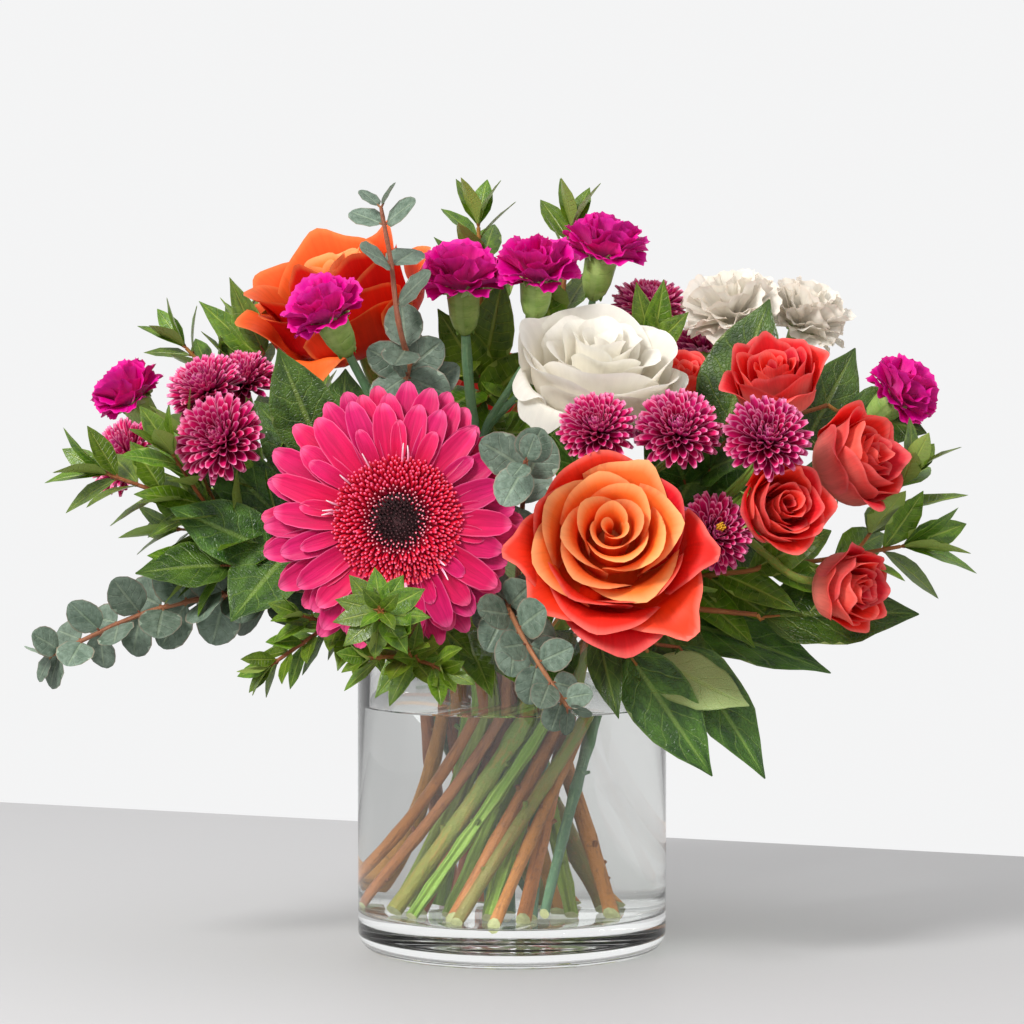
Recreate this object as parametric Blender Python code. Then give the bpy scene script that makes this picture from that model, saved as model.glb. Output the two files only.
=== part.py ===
"""Mixed bouquet standing in a clear glass cylinder vase.

Origin: centre of the vase's underside. +Z up, -Y is the bouquet's show side.
Every stem runs from the vase floor through the narrow neck of the bouquet at the water line,
and out to its bloom or its leaves. Tables are in millimetres, meshes in metres.
"""
import math

import bmesh
import bpy
import numpy as np
from mathutils import Matrix, Vector
from mathutils.bvhtree import BVHTree

MM = 0.001

# Vase
VASE_RADIUS = 63.5
VASE_HEIGHT = 135.0
VASE_WALL = 3.5
VASE_BASE = 16.0
VASE_FOOT_ROUND = 8.0
VASE_FLOOR_ROUND = 4.0
VASE_SIDES = 40

# Stems
NECK_HEIGHT = 100.0
NECK_RADIUS = 29.0
NECK_SPACING = 8.6
FOOT_SPREAD = 0.80
FOOT_TWIST = math.radians(-92.0)
FOOT_BEND = 1.12
WALL_LEAN = 0.8
WALL_LEAN_FROM = 22.0
WALL_LEAN_WAVES = 7
SEAT_GAP = 0.3
STEM_SIDES = 6
STEM_STEPS_BELOW = 4
STEM_STEPS_ABOVE = 6
STEM_STRAIGHT_END = 6.0
TWIG_SIDES = 5
TWIG_STEPS = 3

# Leaves
LEAF_THICKNESS = 0.9
LEAF_CLEARANCE = 0.5

# Profiles of the blooms: (share of the radius, share of the height), from the seat upwards
PROFILES = {
    "gerbera": ((0.11, 0.0), (0.26, 0.18), (0.36, 0.50), (0.97, 0.72), (1.0, 0.86), (0.5, 0.92), (0.18, 1.0)),
    "rose": ((0.16, 0.0), (0.52, 0.10), (0.90, 0.38), (1.0, 0.62), (0.84, 0.86), (0.42, 1.0)),
    "spray_rose": ((0.2, 0.0), (0.55, 0.14), (0.95, 0.48), (0.95, 0.76), (0.55, 1.0)),
    "mum": ((0.25, 0.0), (0.85, 0.25), (1.0, 0.55), (0.75, 0.85), (0.35, 1.0)),
    "carnation": ((0.22, 0.0), (0.40, 0.18), (0.42, 0.50), (1.0, 0.72), (0.92, 0.90), (0.45, 1.0)),
}
PROFILE_SIDES = {"gerbera": 16, "rose": 12, "spray_rose": 9, "mum": 9, "carnation": 9}

# Flowers: stem name, stem radius, stem colour, then one row for each bloom it bears:
# bloom name, kind, centre, direction it faces, radius, height, colour
FLOWERS = (
    ("gerbera_stem", 3.0, "green_stem", (
        ("gerbera", "gerbera", (-44, -88, 179), (-0.03, -1, 0.03), 46, 20, "hot_pink"),)),
    ("rose_front_stem", 2.9, "green_stem", (
        ("rose_front", "rose", (38, -86, 171), (0.02, -0.93, 0.36), 34, 44, "orange"),)),
    ("rose_back_stem", 2.9, "green_stem", (
        ("rose_back", "rose", (-70, 20, 265), (-0.35, -0.35, 0.87), 35, 46, "orange"),)),
    ("rose_white_stem", 2.7, "green_stem", (
        ("rose_white", "rose", (34, -32, 236), (0.12, -0.45, 0.88), 32, 40, "ivory"),)),
    ("rose_rear_stem", 2.9, "green_stem", (
        ("rose_rear", "rose", (-18, 78, 214), (-0.1, 0.85, 0.5), 33, 44, "orange"),)),
    ("white_carnation_stem", 2.0, "blue_green_stem", (
        ("white_carnation_a", "carnation", (92, 18, 260), (-0.25, -0.35, 0.9), 17, 34, "ivory"),
        ("white_carnation_b", "carnation", (122, 38, 257), (0.35, -0.2, 0.9), 16, 32, "ivory"))),
    ("spray_rose_upper_stem", 2.2, "green_stem", (
        ("spray_rose_a", "spray_rose", (105, -42, 232), (-0.15, -0.6, 0.78), 16, 28, "coral"),
        ("spray_rose_b", "spray_rose", (70, 4, 231), (0.1, -0.5, 0.85), 13, 24, "coral"))),
    ("spray_rose_lower_stem", 2.3, "green_stem", (
        ("spray_rose_c", "spray_rose", (135, -46, 201), (0.75, -0.55, 0.35), 17, 33, "coral"),
        ("spray_rose_d", "spray_rose", (104, -76, 184), (0.35, -0.9, 0.2), 14.5, 28, "coral"),
        ("spray_rose_e", "spray_rose", (131, -58, 152), (0.7, -0.65, -0.1), 13.5, 27, "coral"))),
    ("mum_centre_stem", 2.0, "green_stem", (
        ("mum_centre_a", "mum", (33, -72, 216), (-0.1, -0.75, 0.6), 14.5, 16, "burgundy"),
        ("mum_centre_b", "mum", (65, -72, 215), (0.05, -0.8, 0.6), 15, 16, "burgundy"))),
    ("mum_right_stem", 2.0, "green_stem", (
        ("mum_right_a", "mum", (99, -84, 212), (0.1, -0.85, 0.5), 15, 16, "burgundy"),
        ("mum_right_b", "mum", (80, -62, 174), (0.25, -0.9, 0.3), 14, 16, "burgundy"))),
    ("mum_left_stem", 2.2, "green_stem", (
        ("mum_left_a", "mum", (-116, -58, 211), (-0.35, -0.85, 0.4), 16, 16, "burgundy"),
        ("mum_left_b", "mum", (-125, -24, 232), (-0.4, -0.55, 0.7), 14, 15, "burgundy"),
        ("mum_left_c", "mum", (-112, 4, 236), (-0.2, -0.5, 0.8), 13, 15, "burgundy"),
        ("mum_left_d", "mum", (-161, -2, 203), (-0.75, -0.5, 0.4), 14.5, 15, "burgundy"))),
    ("mum_rear_stem", 2.0, "green_stem", (
        ("mum_rear_a", "mum", (58, 28, 268), (0.1, -0.3, 0.95), 14, 15, "burgundy"),
        ("mum_rear_b", "mum", (83, 60, 250), (0.2, 0.1, 0.97), 12.5, 14, "burgundy"),
        ("mum_rear_c", "mum", (58, 84, 222), (0.45, 0.75, 0.5), 14.5, 15, "burgundy"))),
    ("carnation_top_stem", 2.1, "blue_green_stem", (
        ("carnation_top_a", "carnation", (-20, -6, 270), (-0.05, -0.3, 0.95), 15, 36, "magenta"),
        ("carnation_top_b", "carnation", (10, -14, 274), (0.05, -0.4, 0.88), 13.5, 34, "magenta"),
        ("carnation_top_c", "carnation", (37, 18, 284), (0.2, -0.2, 0.95), 14.5, 34, "magenta"))),
    ("carnation_left_stem", 1.8, "blue_green_stem", (
        ("carnation_left", "carnation", (-72, -42, 257), (-0.42, -0.35, 0.82), 13, 32, "magenta"),)),
    ("carnation_right_stem", 1.8, "blue_green_stem", (
        ("carnation_right", "carnation", (157, 4, 226), (0.65, -0.4, 0.62), 13, 32, "magenta"),)),
    ("carnation_far_left_stem", 1.8, "blue_green_stem", (
        ("carnation_far_left", "carnation", (-157, 22, 225), (-0.5, -0.3, 0.8), 12.5, 32, "magenta"),)),
)

# Foliage: name, stem radius, colour, leaf kind, then one or two branches as the points they pass
FOLIAGE = (
    ("eucalyptus_top", 1.6, "grey_green", "round", (
        ((-33, -22, 214), (-44, -48, 252), (-48, -46, 280), (-52, -45, 302)),)),
    ("eucalyptus_centre", 1.4, "grey_green", "round", (
        ((4, -50, 182), (6, -80, 196), (5, -106, 202)),)),
    ("eucalyptus_front", 1.5, "grey_green", "round", (
        ((-1, -60, 142), (-1, -84, 144), (7, -103, 130), (21, -112, 109)),)),
    ("eucalyptus_left", 1.7, "grey_green", "round", (
        ((-60, -18, 143), (-100, -32, 149), (-143, -45, 142), (-182, -54, 125)),)),
    ("myrtle_top", 1.6, "bright_green", "lance", (
        ((-12, 30, 232), (-13, 24, 272), (-14, 22, 298)),
        ((17, 37, 246), (22, 37, 276), (25, 35, 297)))),
    ("myrtle_left", 1.6, "bright_green", "lance", (
        ((-60, -22, 151), (-112, -40, 178), (-160, -46, 196)),)),
    ("myrtle_upper_left", 1.5, "bright_green", "lance", (
        ((-70, 32, 186), (-112, 36, 222), (-137, 34, 248)),)),
    ("myrtle_front", 1.5, "bright_green", "lance", (
        ((-33, -61, 141), (-36, -78, 131), (-38, -94, 125), (-41, -108, 134)),
        ((-44, -52, 146), (-68, -64, 139), (-93, -73, 123)))),
    ("myrtle_right", 1.6, "bright_green", "lance", (
        ((60, -14, 147), (96, -28, 157), (128, -31, 162), (156, -33, 167)),)),
    ("salal_upper_right", 1.8, "dark_green", "broad", (
        ((52, 12, 160), (88, 8, 208), (130, 4, 224)),)),
    ("salal_lower_right", 1.9, "dark_green", "broad", (
        ((54, -30, 144), (76, -38, 142), (98, -40, 140)),
        ((42, -50, 142), (50, -70, 132)))),
    ("salal_left", 1.8, "dark_green", "broad", (
        ((-56, -28, 148), (-82, -44, 160), (-112, -50, 160)),
        ((-60, -34, 180), (-76, -36, 208)))),
    ("salal_rear", 1.9, "dark_green", "broad", (
        ((28, 60, 146), (40, 88, 158), (44, 110, 156)),
        ((58, 46, 152), (84, 62, 172)))),
    ("myrtle_rear", 1.5, "bright_green", "lance", (
        ((-46, 46, 150), (-76, 80, 182), (-92, 102, 204)),)),
)

# Leaves: length, width, gap between pairs, angle to the twig, outline as shares of the half width
LEAVES = {
    "round": (19.0, 18.0, 30.0, math.radians(62), (0.4, 1.0, 0.4)),
    "lance": (33.0, 12.0, 38.0, math.radians(42), (0.2, 1.0, 0.1)),
    "broad": (56.0, 32.0, 27.0, math.radians(48), (0.08, 0.95, 0.9, 0.08)),
}
LEAF_START = 0.42
LEAF_ZONE = 95.0
LEAF_ROOT = 0.3
LEAF_STAGGER = 0.6
LEAF_DROOP = 0.16

COLOURS = {
    "clear_glass": (0.86, 0.90, 0.90),
    "green_stem": (0.16, 0.27, 0.07),
    "blue_green_stem": (0.12, 0.24, 0.15),
    "grey_green": (0.24, 0.33, 0.29),
    "bright_green": (0.16, 0.28, 0.04),
    "dark_green": (0.05, 0.12, 0.03),
    "hot_pink": (0.78, 0.03, 0.20),
    "orange": (0.90, 0.16, 0.04),
    "coral": (0.82, 0.10, 0.10),
    "ivory": (0.86, 0.81, 0.70),
    "burgundy": (0.22, 0.02, 0.13),
    "magenta": (0.42, 0.01, 0.26),
}


# ---------------------------------------------------------------- scene helpers

def clear_scene():
    for item in list(bpy.data.objects):
        bpy.data.objects.remove(item, do_unlink=True)


def new_object(name, mesh_data, colour, smooth=True):
    """Link a bmesh to the scene as one named object with its own material."""
    mesh = bpy.data.meshes.new(name)
    bmesh.ops.recalc_face_normals(mesh_data, faces=mesh_data.faces)
    mesh_data.to_mesh(mesh)
    mesh_data.free()
    item = bpy.data.objects.new(name, mesh)
    bpy.context.scene.collection.objects.link(item)
    paint(item, colour)
    if smooth:
        mesh.shade_smooth()
        mesh.set_sharp_from_angle(angle=math.radians(50))
    return item


def paint(item, colour):
    material = bpy.data.materials.new(item.name)
    material.use_nodes = True
    shader = material.node_tree.nodes["Principled BSDF"]
    shader.inputs["Base Color"].default_value = (*COLOURS[colour], 1.0)
    shader.inputs["Roughness"].default_value = 0.55
    shader.inputs["Metallic"].default_value = 0.0
    if colour == "clear_glass":
        shader.inputs["Roughness"].default_value = 0.02
        shader.inputs["Transmission Weight"].default_value = 1.0
    item.data.materials.clear()
    item.data.materials.append(material)


def unite(body, others):
    """Join overlapping solids into one closed body with exact unions."""
    for other in others:
        modifier = body.modifiers.new("union", "BOOLEAN")
        modifier.operation = "UNION"
        modifier.solver = "EXACT"
        modifier.object = other
        depsgraph = bpy.context.evaluated_depsgraph_get()
        mesh = bpy.data.meshes.new_from_object(body.evaluated_get(depsgraph))
        body.modifiers.clear()
        old = body.data
        body.data = mesh
        bpy.data.meshes.remove(old)
        bpy.data.objects.remove(other, do_unlink=True)
    mesh = body.data
    mesh.name = body.name
    mesh.shade_smooth()
    mesh.set_sharp_from_angle(angle=math.radians(50))
    while len(mesh.materials) > 1:
        mesh.materials.pop()


# ---------------------------------------------------------------- solids

def turned(name, profile, sides, colour, matrix):
    """Solid of revolution about local Z; the profile runs (radius, height) from the foot up."""
    shape = bmesh.new()
    rings = []
    for radius, height in profile:
        ring = []
        for k in range(sides):
            turn = 2 * math.pi * k / sides
            ring.append(shape.verts.new((radius * math.cos(turn), radius * math.sin(turn), height)))
        rings.append(ring)
    for lower, upper in zip(rings, rings[1:]):
        for k in range(sides):
            n = (k + 1) % sides
            shape.faces.new((lower[k], lower[n], upper[n], upper[k]))
    shape.faces.new(list(reversed(rings[0])))
    shape.faces.new(rings[-1])
    shape.transform(matrix)
    return new_object(name, shape, colour)


def tube(name, route, radii, sides, colour):
    """Solid round bar along a route, with flat ends square to it."""
    shape = bmesh.new()
    rings = []
    tangents = route_tangents(route)
    side = tangents[0].orthogonal().normalized()
    for point, tangent, radius in zip(route, tangents, radii):
        side = (side - tangent * side.dot(tangent)).normalized()
        across = tangent.cross(side)
        ring = []
        for k in range(sides):
            turn = 2 * math.pi * k / sides
            ring.append(shape.verts.new(point + (side * math.cos(turn) + across * math.sin(turn)) * radius))
        rings.append(ring)
    for lower, upper in zip(rings, rings[1:]):
        for k in range(sides):
            n = (k + 1) % sides
            shape.faces.new((lower[k], lower[n], upper[n], upper[k]))
    shape.faces.new(list(reversed(rings[0])))
    shape.faces.new(rings[-1])
    return new_object(name, shape, colour)


def leaf_solid(base, direction, normal, length, width, outline, swell=0.0):
    """Thin closed blade from its base point, drooping a little away from its normal."""
    shape = bmesh.new()
    across = direction.cross(normal).normalized()
    half_thick = LEAF_THICKNESS * MM / 2 + swell
    rings = []
    for k, share in enumerate(outline):
        along = k / (len(outline) - 1)
        centre = base + direction * (along * (length + swell)) - normal * (LEAF_DROOP * length * along ** 2)
        half = max(share * width / 2, 0.6 * MM) + swell
        rings.append([
            shape.verts.new(centre + across * half + normal * half_thick * 0.7),
            shape.verts.new(centre - across * half + normal * half_thick * 0.7),
            shape.verts.new(centre - across * half - normal * half_thick),
            shape.verts.new(centre + across * half - normal * half_thick)])
    for lower, upper in zip(rings, rings[1:]):
        for k in range(4):
            n = (k + 1) % 4
            shape.faces.new((lower[k], lower[n], upper[n], upper[k]))
    shape.faces.new(list(reversed(rings[0])))
    shape.faces.new(rings[-1])
    bmesh.ops.triangulate(shape, faces=shape.faces)
    return shape


# ---------------------------------------------------------------- routes

def route_tangents(route):
    tangents = []
    for k in range(len(route)):
        before = route[max(k - 1, 0)]
        after = route[min(k + 1, len(route) - 1)]
        tangents.append((after - before).normalized())
    return tangents


def chain(points, start, end, steps):
    """Smooth curve through the points, leaving along start and arriving along end."""
    slopes = []
    for k in range(len(points)):
        if k == 0:
            slopes.append(start.normalized() * (points[1] - points[0]).length)
        elif k == len(points) - 1:
            slopes.append(end.normalized() * (points[-1] - points[-2]).length)
        else:
            slopes.append((points[k + 1] - points[k - 1]) / 2)
    route = []
    for k in range(len(points) - 1):
        for step in range(steps):
            t = step / steps
            route.append(points[k] * (2 * t ** 3 - 3 * t ** 2 + 1) + slopes[k] * (t ** 3 - 2 * t ** 2 + t)
                         + points[k + 1] * (3 * t ** 2 - 2 * t ** 3) + slopes[k + 1] * (t ** 3 - t ** 2))
    route.append(points[-1].copy())
    return route


def below_neck(neck, drop):
    """Point of a stem below the neck: drop 0 is the neck, drop 1 the vase floor."""
    reach = math.hypot(*neck)
    outer = min(max((reach - WALL_LEAN_FROM) / (NECK_RADIUS - WALL_LEAN_FROM), 0), 1)
    wave = 0.5 + 0.5 * math.sin(WALL_LEAN_WAVES * math.atan2(neck[1], neck[0]) + 1)
    spread = 1 + FOOT_SPREAD + WALL_LEAN * outer * wave
    foot_x = (neck[0] * math.cos(FOOT_TWIST) - neck[1] * math.sin(FOOT_TWIST)) * spread
    foot_y = (neck[0] * math.sin(FOOT_TWIST) + neck[1] * math.cos(FOOT_TWIST)) * spread
    share = drop ** FOOT_BEND
    return Vector((neck[0] + (foot_x - neck[0]) * share, neck[1] + (foot_y - neck[1]) * share,
                   NECK_HEIGHT - drop * (NECK_HEIGHT - VASE_BASE))) * MM


def room_in_vase(height):
    """Radius that is free inside the glass at a height, allowing for its flat sides and rounded floor."""
    radius = (VASE_RADIUS - VASE_WALL) * math.cos(math.pi / VASE_SIDES) - SEAT_GAP
    rise = min(max(height - VASE_BASE - SEAT_GAP, 0), VASE_FLOOR_ROUND)
    return radius - VASE_FLOOR_ROUND + math.sqrt(VASE_FLOOR_ROUND ** 2 - (VASE_FLOOR_ROUND - rise) ** 2)


def lowest_drop(neck, radius):
    """How far down a stem goes before its cut end meets the vase floor or leans on the glass."""
    for step in range(500, 0, -1):
        drop = step / 500
        centre = below_neck(neck, drop) / MM
        slant = (below_neck(neck, drop - 0.1) / MM - centre).normalized()
        reach = math.hypot(centre.x, centre.y)
        level = math.hypot(slant.x, slant.y)
        fits = centre.z - radius * level >= VASE_BASE + SEAT_GAP
        for sign in (-1, 0, 1):
            height = centre.z + sign * radius * level
            fits = fits and reach + sign * radius * slant.z <= room_in_vase(height)
        if fits:
            return drop
    raise ValueError("a stem finds no foothold in the vase")


def foot_route(neck, radius):
    """Stretch of a stem in the water, from its foothold in the vase up to the neck."""
    lowest = lowest_drop(neck, radius)
    return [below_neck(neck, lowest * (1 - k / STEM_STEPS_BELOW)) for k in range(STEM_STEPS_BELOW)]


def neck_places(targets):
    """Where each stem crosses the neck: towards its own target, then pushed apart to the spacing."""
    places = []
    for x, y, z in targets:
        reach = math.hypot(x, y) / (z - 45)
        share = min(1.0, reach / 1.25) ** 0.8
        heading = math.atan2(y, x)
        places.append([NECK_RADIUS * share * math.cos(heading), NECK_RADIUS * share * math.sin(heading)])
    places = np.array(places)
    for _ in range(400):
        for i in range(len(places)):
            for j in range(i):
                apart = places[i] - places[j]
                distance = max(math.hypot(*apart), 0.01)
                if distance < NECK_SPACING:
                    push = apart / distance * (NECK_SPACING - distance) * 0.25
                    places[i] += push
                    places[j] -= push
        for place in places:
            over = math.hypot(*place) / NECK_RADIUS
            if over > 1:
                place /= over
    return places


# ---------------------------------------------------------------- sub-parts

def make_vase():
    """Glass cylinder with a heavy base, open at the top, both bottom corners rounded."""
    outer = VASE_RADIUS
    inner = VASE_RADIUS - VASE_WALL
    lip = VASE_WALL / 2
    profile = [(outer - VASE_FOOT_ROUND, 0.0)]
    for k in range(1, 5):
        turn = math.radians(90 * k / 4)
        profile.append((outer - VASE_FOOT_ROUND + VASE_FOOT_ROUND * math.sin(turn),
                        VASE_FOOT_ROUND - VASE_FOOT_ROUND * math.cos(turn)))
    for k in range(5):
        turn = math.radians(180 * k / 4)
        profile.append((outer - lip + lip * math.cos(turn), VASE_HEIGHT - lip + lip * math.sin(turn)))
    for k in range(4):
        turn = math.radians(90 * k / 3)
        profile.append((inner - VASE_FLOOR_ROUND + VASE_FLOOR_ROUND * math.cos(turn),
                        VASE_BASE + VASE_FLOOR_ROUND - VASE_FLOOR_ROUND * math.sin(turn)))
    scaled = [(radius * MM, height * MM) for radius, height in profile]
    return turned("vase", scaled, VASE_SIDES, "clear_glass", Matrix.Identity(4))


def make_bloom(name, kind, centre, face, radius, height, colour):
    """Closed outer shape of one bloom, its flat seat towards the stem."""
    axis = Vector(face).normalized()
    seat = Vector(centre) - axis * (height / 2)
    profile = [(share * radius * MM, level * height * MM) for share, level in PROFILES[kind]]
    matrix = Matrix.Translation(seat * MM) @ axis.to_track_quat("Z", "Y").to_matrix().to_4x4()
    return turned(name, profile, PROFILE_SIDES[kind], colour, matrix)


def bloom_seat(bloom):
    """End of the stem just under a bloom, and the direction it arrives in."""
    _, _, centre, face, _, height, _ = bloom
    axis = Vector(face).normalized()
    return (Vector(centre) - axis * (height / 2 + SEAT_GAP)) * MM, axis


def make_flower_stem(name, radius, colour, blooms, neck):
    """Main stem to the first bloom, and a side shoot from it to each further bloom."""
    top = Vector((*neck, NECK_HEIGHT)) * MM
    seat, axis = bloom_seat(blooms[0])
    straight = axis * STEM_STRAIGHT_END * MM
    upper = chain([top, seat - straight], Vector((0, 0, 1)), axis, STEM_STEPS_ABOVE) + [seat]
    route = foot_route(neck, radius) + upper
    radii = [radius * MM] * len(route)
    stem = tube(name, route, radii, STEM_SIDES, colour)
    shoots = []
    for bloom in blooms[1:]:
        seat, axis = bloom_seat(bloom)
        straight = axis * STEM_STRAIGHT_END * MM
        nearest = min(range(len(upper)), key=lambda k: (upper[k] - seat).length)
        fork = min(max(nearest - 2, 2), STEM_STEPS_ABOVE - 2)
        leave = route_tangents(upper)[fork]
        shoot = chain([upper[fork], seat - straight], leave, axis, STEM_STEPS_ABOVE - 2) + [seat]
        shoots.append(tube(f"{name}_shoot", shoot, [0.72 * radius * MM] * len(shoot), STEM_SIDES - 1, colour))
    unite(stem, shoots)
    return stem


def twig_routes(branches, neck, radius):
    """Whole route of a sprig, and of its second branch where it has one."""
    top = Vector((*neck, NECK_HEIGHT)) * MM
    points = [Vector(point) * MM for point in branches[0]]
    upper = chain([top] + points, Vector((0, 0, 1)), points[-1] - points[-2], TWIG_STEPS)
    routes = [foot_route(neck, radius) + upper]
    for branch in branches[1:]:
        fork = TWIG_STEPS - 1
        side = [Vector(point) * MM for point in branch]
        routes.append(chain([upper[fork]] + side, route_tangents(upper)[fork], side[-1] - side[-2], TWIG_STEPS))
    return routes


def make_twig(name, radius, colour, routes):
    """Bare twig of a sprig, thinner towards its tips."""
    bars = []
    for k, route in enumerate(routes):
        start = 1.0 if k == 0 else 0.8
        radii = [MM * radius * (start + (0.55 - start) * step / (len(route) - 1)) for step in range(len(route))]
        bars.append(tube(name if k == 0 else f"{name}_branch", route, radii, TWIG_SIDES, colour))
    unite(bars[0], bars[1:])
    return bars[0]


def leaf_rows(kind, route, first):
    """Base point, direction and normal of every leaf of one branch, the tip leaf first."""
    length, _, gap, angle, _ = LEAVES[kind]
    tangents = route_tangents(route)
    travelled = [0.0]
    for before, after in zip(route, route[1:]):
        travelled.append(travelled[-1] + (after - before).length)
    rows = [(route[-1] - tangents[-1] * 1.5 * MM, tangents[-1], leaf_up(tangents[-1]))]
    place = travelled[-1] - 0.35 * gap * MM
    turn = 0
    while place > max(first * travelled[-1], travelled[-1] - LEAF_ZONE * MM):
        k = max(n for n, reached in enumerate(travelled) if reached <= place)
        share = (place - travelled[k]) / (travelled[k + 1] - travelled[k])
        point = route[k].lerp(route[k + 1], share)
        tangent = tangents[k]
        side = tangent.cross(leaf_up(tangent)).normalized()
        if turn % 2:
            side = (side + leaf_up(tangent) * 1.2).normalized()
        for sign in (1, -1):
            direction = (tangent * math.cos(angle) + side * sign * math.sin(angle)).normalized()
            base = point + direction * LEAF_ROOT * MM + tangent * sign * LEAF_STAGGER * MM
            rows.append((base, direction, leaf_up(direction)))
        place -= gap * MM
        turn += 1
    return rows


def leaf_up(direction):
    """Upper side of a leaf that points along the direction."""
    up = Vector((0, -0.35, 1))
    up = up - direction * up.dot(direction)
    if up.length < 0.25:
        up = Vector((0, -1, 0)) - direction * -direction.y
    return up.normalized()


def add_leaves(twig, kind, colour, routes, obstacles):
    """Give a twig each leaf that stays clear of every other piece."""
    length, width, _, _, outline = LEAVES[kind]
    blades = []
    for k, route in enumerate(routes):
        first = LEAF_START if k == 0 else 0.35
        for row, (base, direction, normal) in enumerate(leaf_rows(kind, route, first)):
            size = 0.8 if row == 0 else 1.0
            args = (base, direction, normal, size * length * MM, size * width * MM, outline)
            probe = leaf_solid(*args, swell=LEAF_CLEARANCE * MM)
            tree = BVHTree.FromBMesh(probe)
            probe.free()
            if any(tree.overlap(other) for other in obstacles):
                continue
            blades.append(new_object(f"{twig.name}_leaf", leaf_solid(*args), colour))
    unite(twig, blades)


def piece_tree(item):
    """Search tree of a finished piece, for clearance tests."""
    shape = bmesh.new()
    shape.from_mesh(item.data)
    tree = BVHTree.FromBMesh(shape)
    shape.free()
    return tree


def main():
    clear_scene()
    pieces = {"vase": make_vase()}
    targets = [flower[3][0][2] for flower in FLOWERS] + [sprig[4][0][1] for sprig in FOLIAGE]
    necks = neck_places(targets)
    for (name, radius, colour, blooms), neck in zip(FLOWERS, necks):
        pieces[name] = make_flower_stem(name, radius, colour, blooms, neck)
        for bloom in blooms:
            pieces[bloom[0]] = make_bloom(*bloom)
    sprigs = []
    for (name, radius, colour, kind, branches), neck in zip(FOLIAGE, necks[len(FLOWERS):]):
        routes = twig_routes(branches, neck, radius)
        pieces[name] = make_twig(name, radius, colour, routes)
        sprigs.append((name, kind, colour, routes))
    trees = {name: piece_tree(item) for name, item in pieces.items()}
    for name, kind, colour, routes in sprigs:
        others = [tree for other, tree in trees.items() if other != name]
        add_leaves(pieces[name], kind, colour, routes, others)
        trees[name] = piece_tree(pieces[name])


main()
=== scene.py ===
"""Looks of a mixed bouquet in a clear glass cylinder vase, laid out as a Blender add-on."""
import math
import random
from functools import partial

import bmesh
import bpy
import numpy as np
from bpy.props import FloatProperty, FloatVectorProperty, IntProperty, PointerProperty
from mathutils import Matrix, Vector


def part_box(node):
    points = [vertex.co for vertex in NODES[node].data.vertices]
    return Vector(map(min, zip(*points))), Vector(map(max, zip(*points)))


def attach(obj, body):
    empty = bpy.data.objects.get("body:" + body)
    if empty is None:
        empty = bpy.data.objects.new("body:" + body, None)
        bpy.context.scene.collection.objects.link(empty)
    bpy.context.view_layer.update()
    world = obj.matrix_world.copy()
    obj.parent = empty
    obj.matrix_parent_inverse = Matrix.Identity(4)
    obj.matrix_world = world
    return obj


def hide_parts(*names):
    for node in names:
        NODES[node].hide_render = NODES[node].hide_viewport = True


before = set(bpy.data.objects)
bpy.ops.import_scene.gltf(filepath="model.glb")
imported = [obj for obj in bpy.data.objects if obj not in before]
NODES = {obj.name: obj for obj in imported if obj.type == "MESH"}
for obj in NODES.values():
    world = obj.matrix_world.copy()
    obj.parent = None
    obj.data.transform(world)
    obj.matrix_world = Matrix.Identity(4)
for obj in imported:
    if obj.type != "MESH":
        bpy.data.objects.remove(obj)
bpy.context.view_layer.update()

bl_info = {
    "name": "Bouquet in a Vase",
    "version": (1, 0, 0),
    "blender": (4, 5, 0),
    "location": "3D View > Sidebar > Bouquet",
    "description": "Dresses a mixed bouquet in a glass vase: petals, leaves, stems, glass and water",
    "category": "Add Mesh",
}

MM = 0.001


def srgb(red, green, blue):
    """Linear colour from 0-255 display values."""
    def channel(value):
        value /= 255
        return value / 12.92 if value <= 0.04045 else ((value + 0.055) / 1.055) ** 2.4
    return (channel(red), channel(green), channel(blue), 1.0)


# ---------------- routes of the stems
# The stems' rules are the solids' own: a stem runs from the vase floor through the neck of the
# bouquet at the water line, and on to its bloom or along its sprig. Millimetres.

VASE_BASE = 16.0
NECK_HEIGHT = 100.0
NECK_RADIUS = 29.0
NECK_SPACING = 8.6
FOOT_SPREAD = 0.80
FOOT_TWIST = math.radians(-92.0)
FOOT_BEND = 1.12
WALL_LEAN = 0.8
WALL_LEAN_FROM = 22.0
WALL_LEAN_WAVES = 7
FLOOR_ROUND = 4.0
SEAT_GAP = 0.3
# The solid glass is a ring of flat sides, so the room inside it is a little narrower than it is round
VASE_INNER_RADIUS = 60.0
VASE_SIDES = 40
FREE_RADIUS = VASE_INNER_RADIUS * math.cos(math.pi / VASE_SIDES) - SEAT_GAP
STRAIGHT_END = 6.0
# Steps of the solids' routes, up a flower's stem and from point to point of a sprig
FLOWER_STEPS = 6
SPRIG_STEPS = 3
# Steps of the routes here: in the water, on a side shoot, and on each step of a solid's route
FOOT_STEPS = 14
SHOOT_STEPS = 20
FINE = 4
# A stem crosses the neck further out, the more its target leans out as seen from this height on the axis
NECK_AIM_HEIGHT = 45
NECK_FULL_LEAN = 1.25
NECK_SHARE_POWER = 0.8
NECK_ROUNDS = 400
NECK_PUSH = 0.25
# How finely a stem's foothold is looked for, and the stretch that its slant is read from
DROP_STEPS = 500
SLANT_STRETCH = 0.1
# How far a route may leave its solid's box, in metres
ROUTE_SLACK = 0.004

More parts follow.
